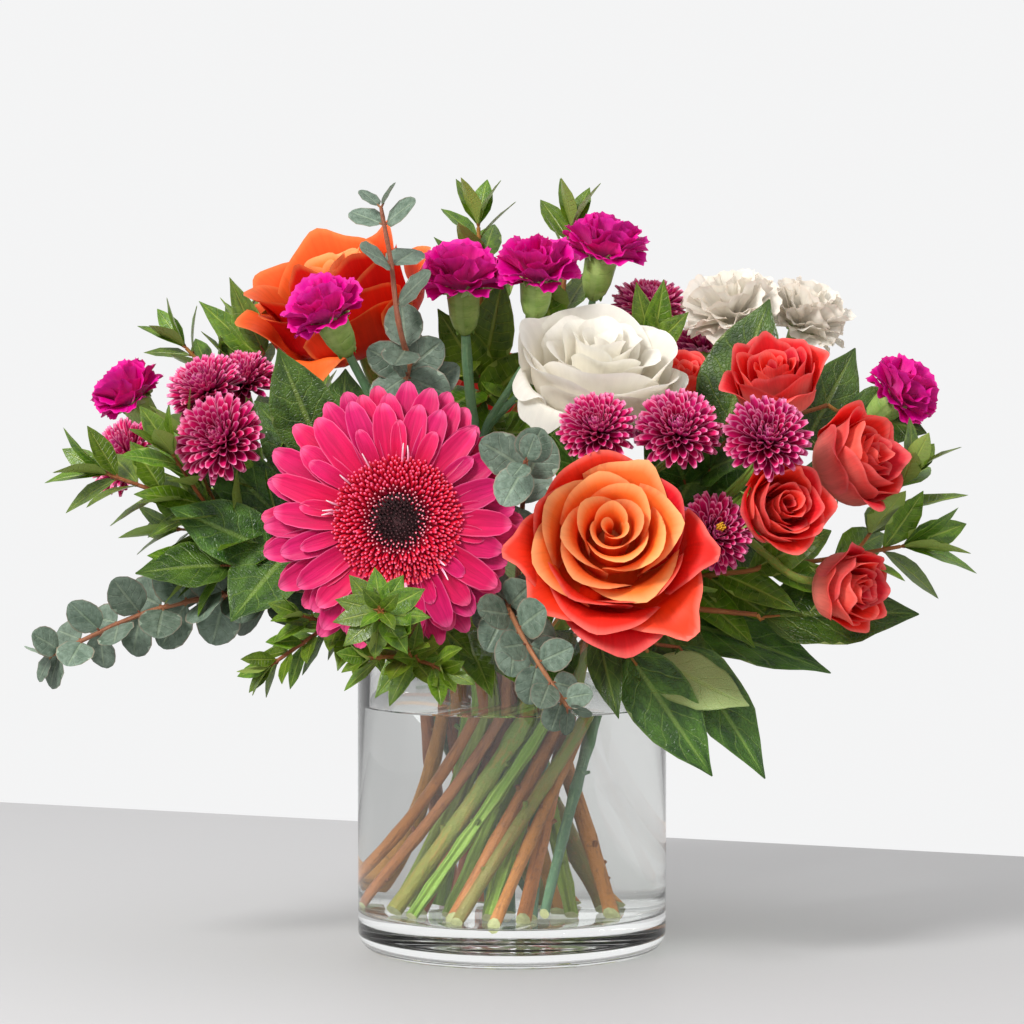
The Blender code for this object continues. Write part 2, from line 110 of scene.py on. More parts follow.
# Flower stems: name, radius, bark, and the blooms each bears
FLOWERS = (
    ("gerbera_stem", 3.0, "pale", ("gerbera",)),
    ("rose_front_stem", 2.9, "rose", ("rose_front",)),
    ("rose_back_stem", 2.9, "rose", ("rose_back",)),
    ("rose_white_stem", 2.7, "green", ("rose_white",)),
    ("rose_rear_stem", 2.9, "rose", ("rose_rear",)),
    ("white_carnation_stem", 2.0, "blue", ("white_carnation_a", "white_carnation_b")),
    ("spray_rose_upper_stem", 2.2, "green", ("spray_rose_a", "spray_rose_b")),
    ("spray_rose_lower_stem", 2.3, "rose", ("spray_rose_c", "spray_rose_d", "spray_rose_e")),
    ("mum_centre_stem", 2.0, "green", ("mum_centre_a", "mum_centre_b")),
    ("mum_right_stem", 2.0, "green", ("mum_right_a", "mum_right_b")),
    ("mum_left_stem", 2.2, "green", ("mum_left_a", "mum_left_b", "mum_left_c", "mum_left_d")),
    ("mum_rear_stem", 2.0, "green", ("mum_rear_a", "mum_rear_b", "mum_rear_c")),
    ("carnation_top_stem", 2.1, "blue", ("carnation_top_a", "carnation_top_b", "carnation_top_c")),
    ("carnation_left_stem", 1.8, "blue", ("carnation_left",)),
    ("carnation_right_stem", 1.8, "blue", ("carnation_right",)),
    ("carnation_far_left_stem", 1.8, "blue", ("carnation_far_left",)),
)

# Sprigs: name, radius, leaf kind, and the points its branches pass
FOLIAGE = (
    ("eucalyptus_top", 1.6, "round", (
        ((-33, -22, 214), (-44, -48, 252), (-48, -46, 280), (-52, -45, 302)),)),
    ("eucalyptus_centre", 1.4, "round", (
        ((4, -50, 182), (6, -80, 196), (5, -106, 202)),)),
    ("eucalyptus_front", 1.5, "round", (
        ((-1, -60, 142), (-1, -84, 144), (7, -103, 130), (21, -112, 109)),)),
    ("eucalyptus_left", 1.7, "round", (
        ((-60, -18, 143), (-100, -32, 149), (-143, -45, 142), (-182, -54, 125)),)),
    ("myrtle_top", 1.6, "lance", (
        ((-12, 30, 232), (-13, 24, 272), (-14, 22, 298)),
        ((17, 37, 246), (22, 37, 276), (25, 35, 297)))),
    ("myrtle_left", 1.6, "lance", (
        ((-60, -22, 151), (-112, -40, 178), (-160, -46, 196)),)),
    ("myrtle_upper_left", 1.5, "lance", (
        ((-70, 32, 186), (-112, 36, 222), (-137, 34, 248)),)),
    ("myrtle_front", 1.5, "lance", (
        ((-33, -61, 141), (-36, -78, 131), (-38, -94, 125), (-41, -108, 134)),
        ((-44, -52, 146), (-68, -64, 139), (-93, -73, 123)))),
    ("myrtle_right", 1.6, "lance", (
        ((60, -14, 147), (96, -28, 157), (128, -31, 162), (156, -33, 167)),)),
    ("salal_upper_right", 1.8, "broad", (
        ((52, 12, 160), (88, 8, 208), (130, 4, 224)),)),
    ("salal_lower_right", 1.9, "broad", (
        ((54, -30, 144), (76, -38, 142), (98, -40, 140)),
        ((42, -50, 142), (50, -70, 132)))),
    ("salal_left", 1.8, "broad", (
        ((-56, -28, 148), (-82, -44, 160), (-112, -50, 160)),
        ((-60, -34, 180), (-76, -36, 208)))),
    ("salal_rear", 1.9, "broad", (
        ((28, 60, 146), (40, 88, 158), (44, 110, 156)),
        ((58, 46, 152), (84, 62, 172)))),
    ("myrtle_rear", 1.5, "lance", (
        ((-46, 46, 150), (-76, 80, 182), (-92, 102, 204)),)),
)


def solid_points(node):
    """Merged corner points of a CAD node, in millimetres."""
    mesh = NODES[node].data
    points = np.empty(len(mesh.vertices) * 3, np.float32)
    mesh.vertices.foreach_get("co", points)
    return np.unique(points.reshape(-1, 3).round(6), axis=0).astype(float) / MM


class Seat:
    """Where a bloom's solid sits: its seat on the stem, its axis, its height and its radius."""

    def __init__(self, node, stem):
        points = solid_points(node)
        middle = points.mean(axis=0)
        spread, axes = np.linalg.eigh(np.cov((points - middle).T))
        odd = 0 if abs(spread[1] - spread[0]) > abs(spread[2] - spread[1]) else 2
        axis = axes[:, odd]
        along = (points - middle) @ axis
        ends = [middle + axis * along.min(), middle + axis * along.max()]
        stem_points = solid_points(stem)
        gaps = [np.linalg.norm(stem_points - end, axis=1).min() for end in ends]
        if gaps[1] < gaps[0]:
            axis = -axis
            ends.reverse()
        self.seat = Vector(ends[0])
        self.axis = Vector(axis).normalized()
        self.height = float(along.max() - along.min())
        across = (points - middle) - np.outer(along, axes[:, odd])
        self.radius = float(np.linalg.norm(across, axis=1).max())
        self.centre = self.seat + self.axis * self.height / 2


def tangents_of(route):
    """Direction of a route at each of its points."""
    pairs = zip(route[:1] + route[:-1], route[1:] + route[-1:])
    return [(after - before).normalized() for before, after in pairs]


def chain(points, start, end, steps):
    """Smooth curve through the points, leaving along start and arriving along end."""
    slopes = [start.normalized() * (points[1] - points[0]).length]
    slopes += [(after - before) / 2 for before, after in zip(points, points[2:])]
    slopes.append(end.normalized() * (points[-1] - points[-2]).length)
    route = []
    for k in range(len(points) - 1):
        for step in range(steps):
            t = step / steps
            route.append(points[k] * (2 * t ** 3 - 3 * t ** 2 + 1) + slopes[k] * (t ** 3 - 2 * t ** 2 + t)
                         + points[k + 1] * (3 * t ** 2 - 2 * t ** 3) + slopes[k + 1] * (t ** 3 - t ** 2))
    route.append(points[-1].copy())
    return route


def below_neck(neck, drop):
    """Point of a stem below the neck: drop 0 is the neck, drop 1 the vase floor."""
    reach = math.hypot(*neck)
    outer = min(max((reach - WALL_LEAN_FROM) / (NECK_RADIUS - WALL_LEAN_FROM), 0), 1)
    wave = 0.5 + 0.5 * math.sin(WALL_LEAN_WAVES * math.atan2(neck[1], neck[0]) + 1)
    spread = 1 + FOOT_SPREAD + WALL_LEAN * outer * wave
    foot_x = (neck[0] * math.cos(FOOT_TWIST) - neck[1] * math.sin(FOOT_TWIST)) * spread
    foot_y = (neck[0] * math.sin(FOOT_TWIST) + neck[1] * math.cos(FOOT_TWIST)) * spread
    share = drop ** FOOT_BEND
    return Vector((neck[0] + (foot_x - neck[0]) * share, neck[1] + (foot_y - neck[1]) * share,
                   NECK_HEIGHT - drop * (NECK_HEIGHT - VASE_BASE)))


def room_in_vase(height):
    """Radius that is free inside the glass at a height, with its rounded floor."""
    rise = min(max(height - VASE_BASE - SEAT_GAP, 0), FLOOR_ROUND)
    return FREE_RADIUS - FLOOR_ROUND + math.sqrt(FLOOR_ROUND ** 2 - (FLOOR_ROUND - rise) ** 2)


def lowest_drop(neck, radius):
    """How far down a stem goes before its cut end meets the vase floor or leans on the glass."""
    for step in range(DROP_STEPS, 0, -1):
        drop = step / DROP_STEPS
        centre = below_neck(neck, drop)
        slant = (below_neck(neck, drop - SLANT_STRETCH) - centre).normalized()
        reach = math.hypot(centre.x, centre.y)
        level = math.hypot(slant.x, slant.y)
        fits = centre.z - radius * level >= VASE_BASE + SEAT_GAP
        for sign in (-1, 0, 1):
            fits = fits and reach + sign * radius * slant.z <= room_in_vase(centre.z + sign * radius * level)
        if fits:
            return drop
    raise RuntimeError("a stem finds no foothold in the vase")


def foot_route(neck, radius):
    """Stretch of a stem in the water, from its foothold in the vase up to the neck."""
    lowest = lowest_drop(neck, radius)
    return [below_neck(neck, lowest * (1 - k / FOOT_STEPS)) for k in range(FOOT_STEPS)]


def neck_places(targets):
    """Where each stem crosses the neck: towards its own target, then pushed apart to the spacing."""
    places = []
    for x, y, z in targets:
        reach = math.hypot(x, y) / (z - NECK_AIM_HEIGHT)
        share = min(1.0, reach / NECK_FULL_LEAN) ** NECK_SHARE_POWER
        heading = math.atan2(y, x)
        places.append([NECK_RADIUS * share * math.cos(heading), NECK_RADIUS * share * math.sin(heading)])
    places = np.array(places)
    for _ in range(NECK_ROUNDS):
        for i in range(len(places)):
            for j in range(i):
                apart = places[i] - places[j]
                distance = max(math.hypot(*apart), 0.01)
                if distance < NECK_SPACING:
                    push = apart / distance * (NECK_SPACING - distance) * NECK_PUSH
                    places[i] += push
                    places[j] -= push
        for place in places:
            over = math.hypot(*place) / NECK_RADIUS
            if over > 1:
                place /= over
    return places


def flower_routes(neck, radius, seats):
    """Main route to the first bloom, then a side shoot to each further bloom."""
    ends = [seat.seat - seat.axis * SEAT_GAP for seat in seats]
    starts = [end - seat.axis * STRAIGHT_END for end, seat in zip(ends, seats)]
    top = Vector((*neck, NECK_HEIGHT))
    upper = chain([top, starts[0]], Vector((0, 0, 1)), seats[0].axis, FLOWER_STEPS * FINE) + [ends[0]]
    routes = [foot_route(neck, radius) + upper]
    solid_route = upper[:-1:FINE] + [upper[-1]]
    for seat, start, end in zip(seats[1:], starts[1:], ends[1:]):
        nearest = min(range(len(solid_route)), key=lambda k: (solid_route[k] - end).length)
        fork = min(max(nearest - 2, 2), FLOWER_STEPS - 2)
        leave = tangents_of(solid_route)[fork]
        routes.append(chain([solid_route[fork], start], leave, seat.axis, SHOOT_STEPS) + [end])
    return routes


def sprig_routes(branches, neck, radius):
    """Whole route of a sprig, and of its second branch where it has one."""
    steps = SPRIG_STEPS * FINE
    top = Vector((*neck, NECK_HEIGHT))
    points = [Vector(point) for point in branches[0]]
    upper = chain([top] + points, Vector((0, 0, 1)), points[-1] - points[-2], steps)
    routes = [foot_route(neck, radius) + upper]
    solid_route = upper[::FINE]
    fork = SPRIG_STEPS - 1
    for branch in branches[1:]:
        side = [Vector(point) for point in branch]
        leave = tangents_of(solid_route)[fork]
        routes.append(chain([solid_route[fork]] + side, leave, side[-1] - side[-2], steps))
    return routes


SEATS = {bloom: Seat(bloom, stem) for stem, _, _, blooms in FLOWERS for bloom in blooms}


def plan_routes():
    """Routes of every stem and sprig, checked against the solids they dress."""
    targets = [tuple(SEATS[blooms[0]].centre) for _, _, _, blooms in FLOWERS]
    targets += [branches[0][1] for _, _, _, branches in FOLIAGE]
    necks = neck_places(targets)
    routes = {}
    for (name, radius, _, blooms), neck in zip(FLOWERS, necks):
        routes[name] = flower_routes(neck, radius, [SEATS[bloom] for bloom in blooms])
    for (name, radius, _, branches), neck in zip(FOLIAGE, necks[len(FLOWERS):]):
        routes[name] = sprig_routes(branches, neck, radius)
    for name, sets in routes.items():
        low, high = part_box(name)
        for point in sets[0] + sets[-1]:
            for k in range(3):
                if not low[k] - ROUTE_SLACK < point[k] * MM < high[k] + ROUTE_SLACK:
                    raise RuntimeError(f"{name}: its route leaves its solid at {tuple(point)}")
    return routes


ROUTES = plan_routes()


# ---------------- geometry of petals and leaves

def unit(vector):
    """The vector at length 1."""
    vector = np.asarray(vector, float)
    return vector / max(np.linalg.norm(vector), 1e-9)


def square_to(vector, axis):
    """The part of a vector that is square to an axis, as a unit vector."""
    vector = np.asarray(vector, float)
    return unit(vector - axis * np.dot(vector, axis))


def ease(value, low, high):
    """Smooth step from 0 at low to 1 at high."""
    t = np.clip((value - low) / (high - low), 0, 1)
    return t * t * (3 - 2 * t)


UP = np.array([0.0, 0.0, 1.0])
GOLDEN_ANGLE = math.pi * (3 - math.sqrt(5))
# Near enough a whole turn, for random phases
WHOLE_TURN = 6.28
# Faces that meet at less than this angle are shaded as one surface
SMOOTH_UP_TO = math.radians(62)
# Places in the list of materials of a piece, whose first is its petals or its bark
GREEN_SLOT = 1
OUTER_PETAL_SLOT = 2
POLLEN_SLOT = 2
STEM_CUT_SLOT = 1
TWIG_CUT_SLOT = 2


def outward(turn):
    """Unit vector that points away from the axis, at an angle round it."""
    return np.array([math.cos(turn), math.sin(turn), 0.0])


def tilted(out, polar):
    """Direction that leans away from the axis by an angle, towards out."""
    return out * math.sin(polar) + UP * math.cos(polar)


def scatter(rng, size):
    """Random small push, as likely one way as the other."""
    return np.array([rng.uniform(-size, size) for _ in range(3)])


def upright(heights):
    """Points on the axis at the given heights."""
    return [(0, 0, height) for height in heights]


def eased(count):
    """Stations from 0 to 1 that lie closer together at both ends."""
    return 0.5 - 0.5 * np.cos(np.linspace(0, math.pi, count))


def petal_grid(stations, cols):
    """Places of a sheet's points: along it from 0 to 1, and across it from -1 to 1."""
    return np.meshgrid(stations, np.linspace(-1, 1, cols), indexing="ij")


def lengths_along(route):
    """Length walked at each point of a route."""
    lengths = [0.0]
    for before, after in zip(route, route[1:]):
        lengths.append(lengths[-1] + (after - before).length)
    return lengths


class Piece:
    """Gathers petals, leaves and tubes in millimetres and makes one closed, finished object of them."""

    def __init__(self, name):
        self.name = name
        self.points, self.faces, self.uvs = [], [], []
        self.tints, self.unders, self.slots = [], [], []
        self.count = 0
        self.place = np.eye(4)
        self.random = random.Random(sum((k + 1) * ord(letter) for k, letter in enumerate(name)))

    def stand(self, origin, axis):
        """Local frame: z along the axis, x towards the right-hand side."""
        axis = unit(axis)
        right = square_to((1, 0, 0), axis)
        self.place[:3] = np.stack([right, np.cross(axis, right), axis, origin], axis=1)

    def add(self, points, faces, uvs, unders, slot):
        """Adds faces that share one slot and one random tint."""
        tint = self.random.random()
        self.points.append(np.asarray(points, float) @ self.place[:3, :3].T + self.place[:3, 3])
        self.faces.extend(tuple(index + self.count for index in face) for face in faces)
        self.uvs.extend(uvs)
        self.tints.extend([tint] * len(faces))
        self.unders.extend(unders)
        self.slots.extend([slot] * len(faces))
        self.count += len(points)

    def sheet(self, middle, along, across, thickness, slot):
        """Thin closed petal or leaf: an upper and an under surface that meet at the rim."""
        rows, cols = middle.shape[:2]
        normal = np.cross(np.gradient(middle, axis=1), np.gradient(middle, axis=0))
        normal /= np.maximum(np.linalg.norm(normal, axis=2, keepdims=True), 1e-9)
        half = normal[1:-1, 1:-1] * thickness / 2
        raised = middle.copy()
        raised[1:-1, 1:-1] += half
        lowered = middle[1:-1, 1:-1] - half
        points = np.concatenate([raised.reshape(-1, 3), lowered.reshape(-1, 3)])
        top = np.arange(rows * cols).reshape(rows, cols)
        bottom = top.copy()
        bottom[1:-1, 1:-1] = rows * cols + np.arange((rows - 2) * (cols - 2)).reshape(rows - 2, cols - 2)
        flat = np.stack([across * 0.5 + 0.5, along], axis=2)
        faces, uvs = [], []
        corners = ((0, 0), (0, 1), (1, 1), (1, 0))
        for grid, order in ((top, corners), (bottom, corners[::-1])):
            for r in range(rows - 1):
                for c in range(cols - 1):
                    faces.append(tuple(int(grid[r + i, c + j]) for i, j in order))
                    uvs.extend(tuple(flat[r + i, c + j]) for i, j in order)
        count = len(faces) // 2
        self.add(points, faces, uvs, [0.0] * count + [1.0] * count, slot)

    def tube(self, route, radii, sides=6, slot=0, end_slot=None, flute=0.0, flutes=5, slant=0.0):
        """Closed round rod along a route; a fluted one is ribbed, a slanted one is cut at its foot."""
        route = [Vector(point) for point in route]
        tangents = tangents_of(route)
        side = Vector(square_to((0.3, 1.0, 0.2), np.array(tangents[0])))
        points = []
        for k, (centre, tangent) in enumerate(zip(route, tangents)):
            side = (side - tangent * side.dot(tangent)).normalized()
            over = tangent.cross(side)
            for i in range(sides):
                angle = 2 * math.pi * i / sides
                radius = radii[k] * (1 + flute * math.cos(flutes * angle))
                point = centre + (side * math.cos(angle) + over * math.sin(angle)) * radius
                if k == 0 and slant:
                    point -= tangent * radius * slant * math.cos(angle)
                points.append(tuple(point))
        faces, uvs = [], []
        lengths = lengths_along(route)
        scale = 1 / max(lengths[-1], 1e-6)
        for k in range(len(route) - 1):
            low, high = lengths[k] * scale, lengths[k + 1] * scale
            for i in range(sides):
                j = (i + 1) % sides
                faces.append((k * sides + i, k * sides + j, (k + 1) * sides + j, (k + 1) * sides + i))
                left, right = i / sides, (i + 1) / sides
                uvs.extend(((left, low), (right, low), (right, high), (left, high)))
        faces.append(tuple(range(sides - 1, -1, -1)))
        faces.append(tuple(range(len(points) - sides, len(points))))
        for v in (0.0, 1.0):
            uvs.extend((0.5 + 0.5 * math.cos(2 * math.pi * i / sides), v) for i in range(sides))
        self.add(points, faces, uvs, [0.0] * len(faces), slot)
        if end_slot is not None:
            self.slots[-2] = end_slot

    def leaf(self, base, direction, normal, length, width, kind, fold, droop, ruffle, rows, cols,
             thickness=0.35, sweep=0.0):
        """Leaf on its midrib: folded along it, drooping to its tip, and ruffled at its edge."""
        direction = unit(direction)
        normal = square_to(normal, direction)
        side = np.cross(direction, normal)
        along, across = petal_grid(eased(rows), cols)
        stations, widths = OUTLINES[kind]
        half = np.interp(along, stations, widths) * width / 2
        phase = self.random.uniform(0, WHOLE_TURN)
        rise = np.abs(across) * half * fold - droop * length * along ** 2
        rise = rise + ruffle * half * np.abs(across) ** 2 * np.sin(along * 15 + phase + across * 1.5)
        shift = across * half + sweep * length * along ** 2
        middle = (np.asarray(base, float) + direction * (along * length)[..., None]
                  + side * shift[..., None] + normal * rise[..., None])
        self.sheet(middle, along, across, thickness, GREEN_SLOT)

    def make(self, materials, node, slot):
        """Makes the object, in metres at the origin, and hands it to the frame."""
        mesh = bpy.data.meshes.new(self.name)
        points = np.concatenate(self.points) * MM
        mesh.from_pydata(points.tolist(), [], self.faces)
        layer = mesh.uv_layers.new(name="petal")
        layer.data.foreach_set("uv", np.array(self.uvs, np.float32).ravel())
        for name, values in (("tint", self.tints), ("under", self.unders)):
            attribute = mesh.attributes.new(name, "FLOAT", "FACE")
            attribute.data.foreach_set("value", np.array(values, np.float32))
        for material in materials:
            mesh.materials.append(material)
        mesh.polygons.foreach_set("material_index", np.array(self.slots, np.int32))
        mesh.polygons.foreach_set("use_smooth", np.ones(len(self.faces), bool))
        mesh.validate()
        mesh.set_sharp_from_angle(angle=SMOOTH_UP_TO)
        mesh.update()
        piece = bpy.data.objects.new(self.name, mesh)
        bpy.context.scene.collection.objects.link(piece)
        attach(piece, "root")
        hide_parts(node)


# Half-width of a leaf along its length, as shares of its greatest
OUTLINES = {
    "lance": ((0, 0.08, 0.25, 0.42, 0.6, 0.78, 0.92, 1), (0.06, 0.32, 0.82, 1, 0.92, 0.62, 0.25, 0.02)),
    "round": ((0, 0.05, 0.15, 0.3, 0.5, 0.7, 0.85, 0.95, 1),
              (0.08, 0.42, 0.75, 0.95, 1, 0.9, 0.68, 0.4, 0.16)),
    "broad": ((0, 0.04, 0.12, 0.25, 0.42, 0.6, 0.78, 0.9, 1),
              (0.06, 0.42, 0.76, 0.96, 1, 0.85, 0.52, 0.22, 0.02)),
    "sepal": ((0, 0.2, 0.5, 0.8, 1), (0.8, 1, 0.7, 0.3, 0.04)),
}


# Radius of a rose petal at its foot, as a share of its radius where it bulges
PETAL_FOOT = 0.12


def cup_petal(piece, turn, half_angle, radius, height, *, lean, curl, drop, spiral, point, round_off, roll,
              wave, rows, cols, belly, curl_from, thickness, slot=0):
    """Petal of a rose: a cupped sheet round the axis that leans out and curls back at its tip."""
    along, across = petal_grid(np.linspace(0, 1, rows) ** 0.9, cols)
    top = 1 - round_off * np.abs(across) ** 2.6 + point * np.exp(-(across / 0.22) ** 2)
    t = along * top
    narrow = 0.35 + 0.65 * ease(t, 0.0, 0.55)
    phase = piece.random.uniform(0, WHOLE_TURN)
    bulge = np.sin(math.pi / 2 * np.clip(t / belly, 0, 1)) ** 0.9
    tip = np.clip((t - curl_from) / (1 - curl_from), 0, 1.3)
    rolled = roll * np.abs(across) ** 5 * t
    r = radius * (PETAL_FOOT + (1 - PETAL_FOOT) * bulge)
    r = r + lean * t + curl * tip ** 2 + spiral * across * ease(t, 0, 0.5) + rolled
    z = height * t - drop * tip ** 2.4 - 0.4 * rolled + wave * tip * np.sin(across * 6 + phase)
    angle = turn + across * half_angle * narrow + wave * 0.01 * np.sin(along * 5 + phase)
    middle = np.stack([r * np.cos(angle), r * np.sin(angle), z], axis=2)
    # Across runs anticlockwise, so the upper face of the sheet looks outwards; turn it to look in
    piece.sheet(middle[:, ::-1], along, across, thickness, slot)


def calyx(piece, radius=6.5, height=11.0, length=20.0, width=6.0, reflex=1.2):
    """Green receptacle under a rose, with its five sepals folded back."""
    heights = [height * (share - 0.05) for share in (0, 0.25, 0.5, 0.8, 1.0)]
    piece.tube(upright(heights), [radius * share for share in (0.45, 0.9, 1.0, 0.85, 0.6)], 12, GREEN_SLOT)
    for k in range(5):
        out = outward(2 * math.pi * (k + piece.random.uniform(-0.15, 0.15)) / 5)
        direction = out * math.cos(reflex - 1) - UP * math.sin(reflex - 1)
        piece.leaf(out * radius * 0.5 + UP * height * 0.8, direction, UP, length, width, "sepal",
                   0.3, 0.35 * reflex, 0.0, 6, 5)


def rose(piece, radius, height, heart, outer):
    """Rose from its heart outwards: petals wound round it, then the open outer petals one by one.

    The heart is (petals, share of the radius at its first and at its last, height of the first, last curl,
    how much lower its last petals are).
    An outer petal is (turn, half angle, share of the radius, share of the height, lean, curl, drop, point).
    """
    count, first, last, low, curl, dome = heart
    rng = piece.random
    piece.tube(upright([height * share for share in (0.13, 0.26, 0.42, 0.54)]),
               [radius * last * share for share in (0.44, 0.68, 0.44, 0.12)], 16)
    turn = rng.uniform(0, WHOLE_TURN)
    for k in range(count):
        grown = k / (count - 1)
        share = first + (last - first) * grown ** 0.95 - 0.10 * grown
        turn += math.radians(137.5) + rng.uniform(-0.16, 0.16)
        half = math.radians((108 - 58 * grown ** 0.6) * rng.uniform(0.93, 1.06))
        tall = low + (1 - low) * ease(grown, 0.0, 0.4) - dome * ease(grown, 0.3, 1.0)
        ring = radius * share
        cup_petal(
            piece, turn, half, ring * rng.uniform(0.97, 1.03), height * tall * rng.uniform(0.985, 1.015),
            lean=0.12 * radius * grown, curl=curl * radius * (0.30 + 0.70 * grown),
            drop=height * (0.01 + 0.07 * grown ** 1.5), spiral=ring * 0.11 + 0.35,
            round_off=0.12 + 0.14 * share, point=rng.uniform(0.0, 0.04) + 0.05 * share,
            wave=0.3 + 0.9 * grown, roll=curl * radius * 0.4 * grown, rows=11, cols=15,
            belly=0.72 - 0.16 * grown, curl_from=0.82 - 0.16 * grown, thickness=0.45)
    for degrees, half, share, tall, lean, curl, drop, point in outer:
        cup_petal(
            piece, math.radians(degrees), math.radians(half), radius * share, height * tall,
            lean=lean * radius, curl=curl * radius, drop=drop * height, spiral=radius * 0.04, point=point,
            round_off=0.3, wave=1.1, roll=0.07 * radius, rows=14, cols=21, belly=0.5, curl_from=0.5,
            thickness=0.5, slot=OUTER_PETAL_SLOT)


WIDE_HEART = (17, 0.07, 0.72, 0.97, 0.20, 0.22)


def rose_front(piece, radius, height):
    """Wide open rose, with pointed petals that fold back at its foot."""
    rose(piece, radius, height, WIDE_HEART, (
        (96, 52, 0.68, 0.76, 0.16, 0.14, 0.08, 0.05),
        (30, 46, 0.68, 0.80, 0.08, 0.12, 0.06, 0.04),
        (160, 44, 0.68, 0.78, 0.08, 0.12, 0.07, 0.06),
        (238, 50, 0.68, 0.80, 0.06, 0.12, 0.06, 0.14),
        (300, 50, 0.68, 0.80, 0.08, 0.12, 0.06, 0.04),
        (188, 32, 0.74, 0.70, 0.20, 0.16, 0.12, 0.20),
        (-8, 34, 0.74, 0.70, 0.20, 0.16, 0.12, 0.20),
        (262, 44, 0.72, 0.72, 0.16, 0.24, 0.10, 0.06),
        (-50, 34, 0.74, 0.66, 0.30, 0.22, 0.14, 0.22),
        (222, 36, 0.72, 0.66, 0.22, 0.18, 0.14, 0.12),
        (276, 40, 0.74, 0.58, 0.30, 0.26, 0.12, 0.06),
        (100, 44, 0.70, 0.62, 0.18, 0.14, 0.10, 0.06),
    ))
    calyx(piece, length=13.0)


def rose_back(piece, radius, height):
    """Half-open rose, seen from the side: broad pointed petals in a deep cup."""
    rose(piece, radius, height, (9, 0.10, 0.48, 0.94, 0.08, 0.04), (
        (96, 72, 0.62, 1.00, 0.10, 0.06, 0.02, 0.12),
        (156, 60, 0.66, 0.97, 0.14, 0.14, 0.05, 0.10),
        (28, 60, 0.66, 0.96, 0.12, 0.08, 0.04, 0.12),
        (250, 70, 0.50, 1.04, 0.02, 0.05, 0.03, 0.16),
        (304, 66, 0.56, 1.02, 0.02, 0.05, 0.03, 0.12),
        (200, 60, 0.68, 1.00, 0.10, 0.16, 0.06, 0.14),
        (332, 60, 0.72, 0.96, 0.06, 0.08, 0.05, 0.10),
        (274, 60, 0.74, 0.88, 0.04, 0.10, 0.06, 0.08),
        (222, 54, 0.80, 0.86, 0.08, 0.14, 0.08, 0.12),
        (180, 44, 0.84, 0.80, 0.16, 0.18, 0.10, 0.12),
        (-6, 54, 0.84, 0.80, 0.26, 0.12, 0.08, 0.0),
        (100, 50, 0.82, 0.80, 0.18, 0.16, 0.10, 0.10),
        (284, 46, 0.86, 0.70, 0.06, 0.10, 0.08, 0.06),
        (240, 28, 0.78, 0.52, 0.20, 0.12, 0.40, 0.04),
    ))
    calyx(piece)


def rose_white(piece, radius, height):
    """Wide rose with smooth broad petals, and two guard petals that hang down on the left."""
    rose(piece, radius, height, (13, 0.08, 0.60, 0.95, 0.16, 0.12), (
        (92, 64, 0.70, 0.97, 0.10, 0.14, 0.06, 0.02),
        (8, 58, 0.72, 0.94, 0.10, 0.14, 0.07, 0.02),
        (172, 58, 0.72, 0.95, 0.12, 0.18, 0.07, 0.03),
        (268, 66, 0.72, 0.92, 0.04, 0.12, 0.05, 0.00),
        (50, 52, 0.78, 0.84, 0.14, 0.16, 0.09, 0.02),
        (132, 52, 0.78, 0.85, 0.14, 0.18, 0.09, 0.02),
        (222, 54, 0.78, 0.86, 0.10, 0.18, 0.08, 0.05),
        (312, 56, 0.80, 0.84, 0.10, 0.16, 0.10, 0.05),
        (276, 60, 0.82, 0.74, 0.06, 0.14, 0.08, 0.02),
        (-10, 40, 0.84, 0.70, 0.12, 0.16, 0.12, 0.04),
        (222, 34, 0.82, 0.64, 0.16, 0.12, 0.54, -0.02),
        (202, 28, 0.80, 0.72, 0.16, 0.14, 0.36, 0.02),
    ))
    calyx(piece)


def rose_rear(piece, radius, height):
    """Rose with an even crown of reflexed outer petals."""
    outer = []
    for layer, (share, tall, lean, curl, drop) in enumerate((
            (0.69, 0.86, 0.06, 0.16, 0.07), (0.73, 0.78, 0.16, 0.22, 0.12), (0.75, 0.64, 0.22, 0.22, 0.16))):
        for k in range(5):
            outer.append((k * 72 + layer * 40 + piece.random.uniform(-9, 9), 48, share, tall,
                          lean * piece.random.uniform(0.8, 1.2), curl * piece.random.uniform(0.8, 1.2),
                          drop, piece.random.uniform(0.0, 0.10)))
    rose(piece, radius, height, WIDE_HEART, outer)
    calyx(piece)


def spray_rose(piece, radius, height):
    """Half-open bud: a tight heart in pointed petals that wrap it."""
    outer = []
    for layer, (count, half, share, tall, lean, curl, drop) in enumerate((
            (4, 62, 0.76, 1.00, 0.02, 0.10, 0.04), (4, 58, 0.90, 0.95, 0.06, 0.16, 0.07),
            (4, 50, 0.98, 0.84, 0.14, 0.26, 0.10))):
        for k in range(count):
            outer.append((k * 360 / count + layer * 50 + piece.random.uniform(-10, 10), half, share,
                          tall, lean, curl, drop, piece.random.uniform(0.05, 0.18)))
    rose(piece, radius, height, (11, 0.12, 0.66, 0.88, 0.10, 0.10), outer)
    calyx(piece, 4.2, 7.5, 12.0, 4.2, 0.8)


# Layers of a gerbera's rays: count, reach, level, width, rise, droop and the radius where they start
RAY_LAYERS = (
    (26, 51.5, 8.0, 11.4, -0.06, 0.06, 11.0),
    (25, 50.0, 9.6, 11.6, 0.02, 0.05, 11.0),
    (22, 46.5, 11.2, 10.8, 0.10, 0.06, 11.0),
    (14, 37.0, 11.8, 6.6, 0.20, 0.05, 19.0),
)
# Radius of the bloom that these reaches are for
RAY_REACH_RADIUS = 46
RAY_STATIONS = (0, 0.2, 0.42, 0.6, 0.76, 0.88, 0.96, 1)
RAY_WIDTHS = (0.42, 0.72, 0.96, 1, 0.94, 0.78, 0.5, 0.14)
DISC_FLORETS = 760
DISC_RADIUS = 24.5
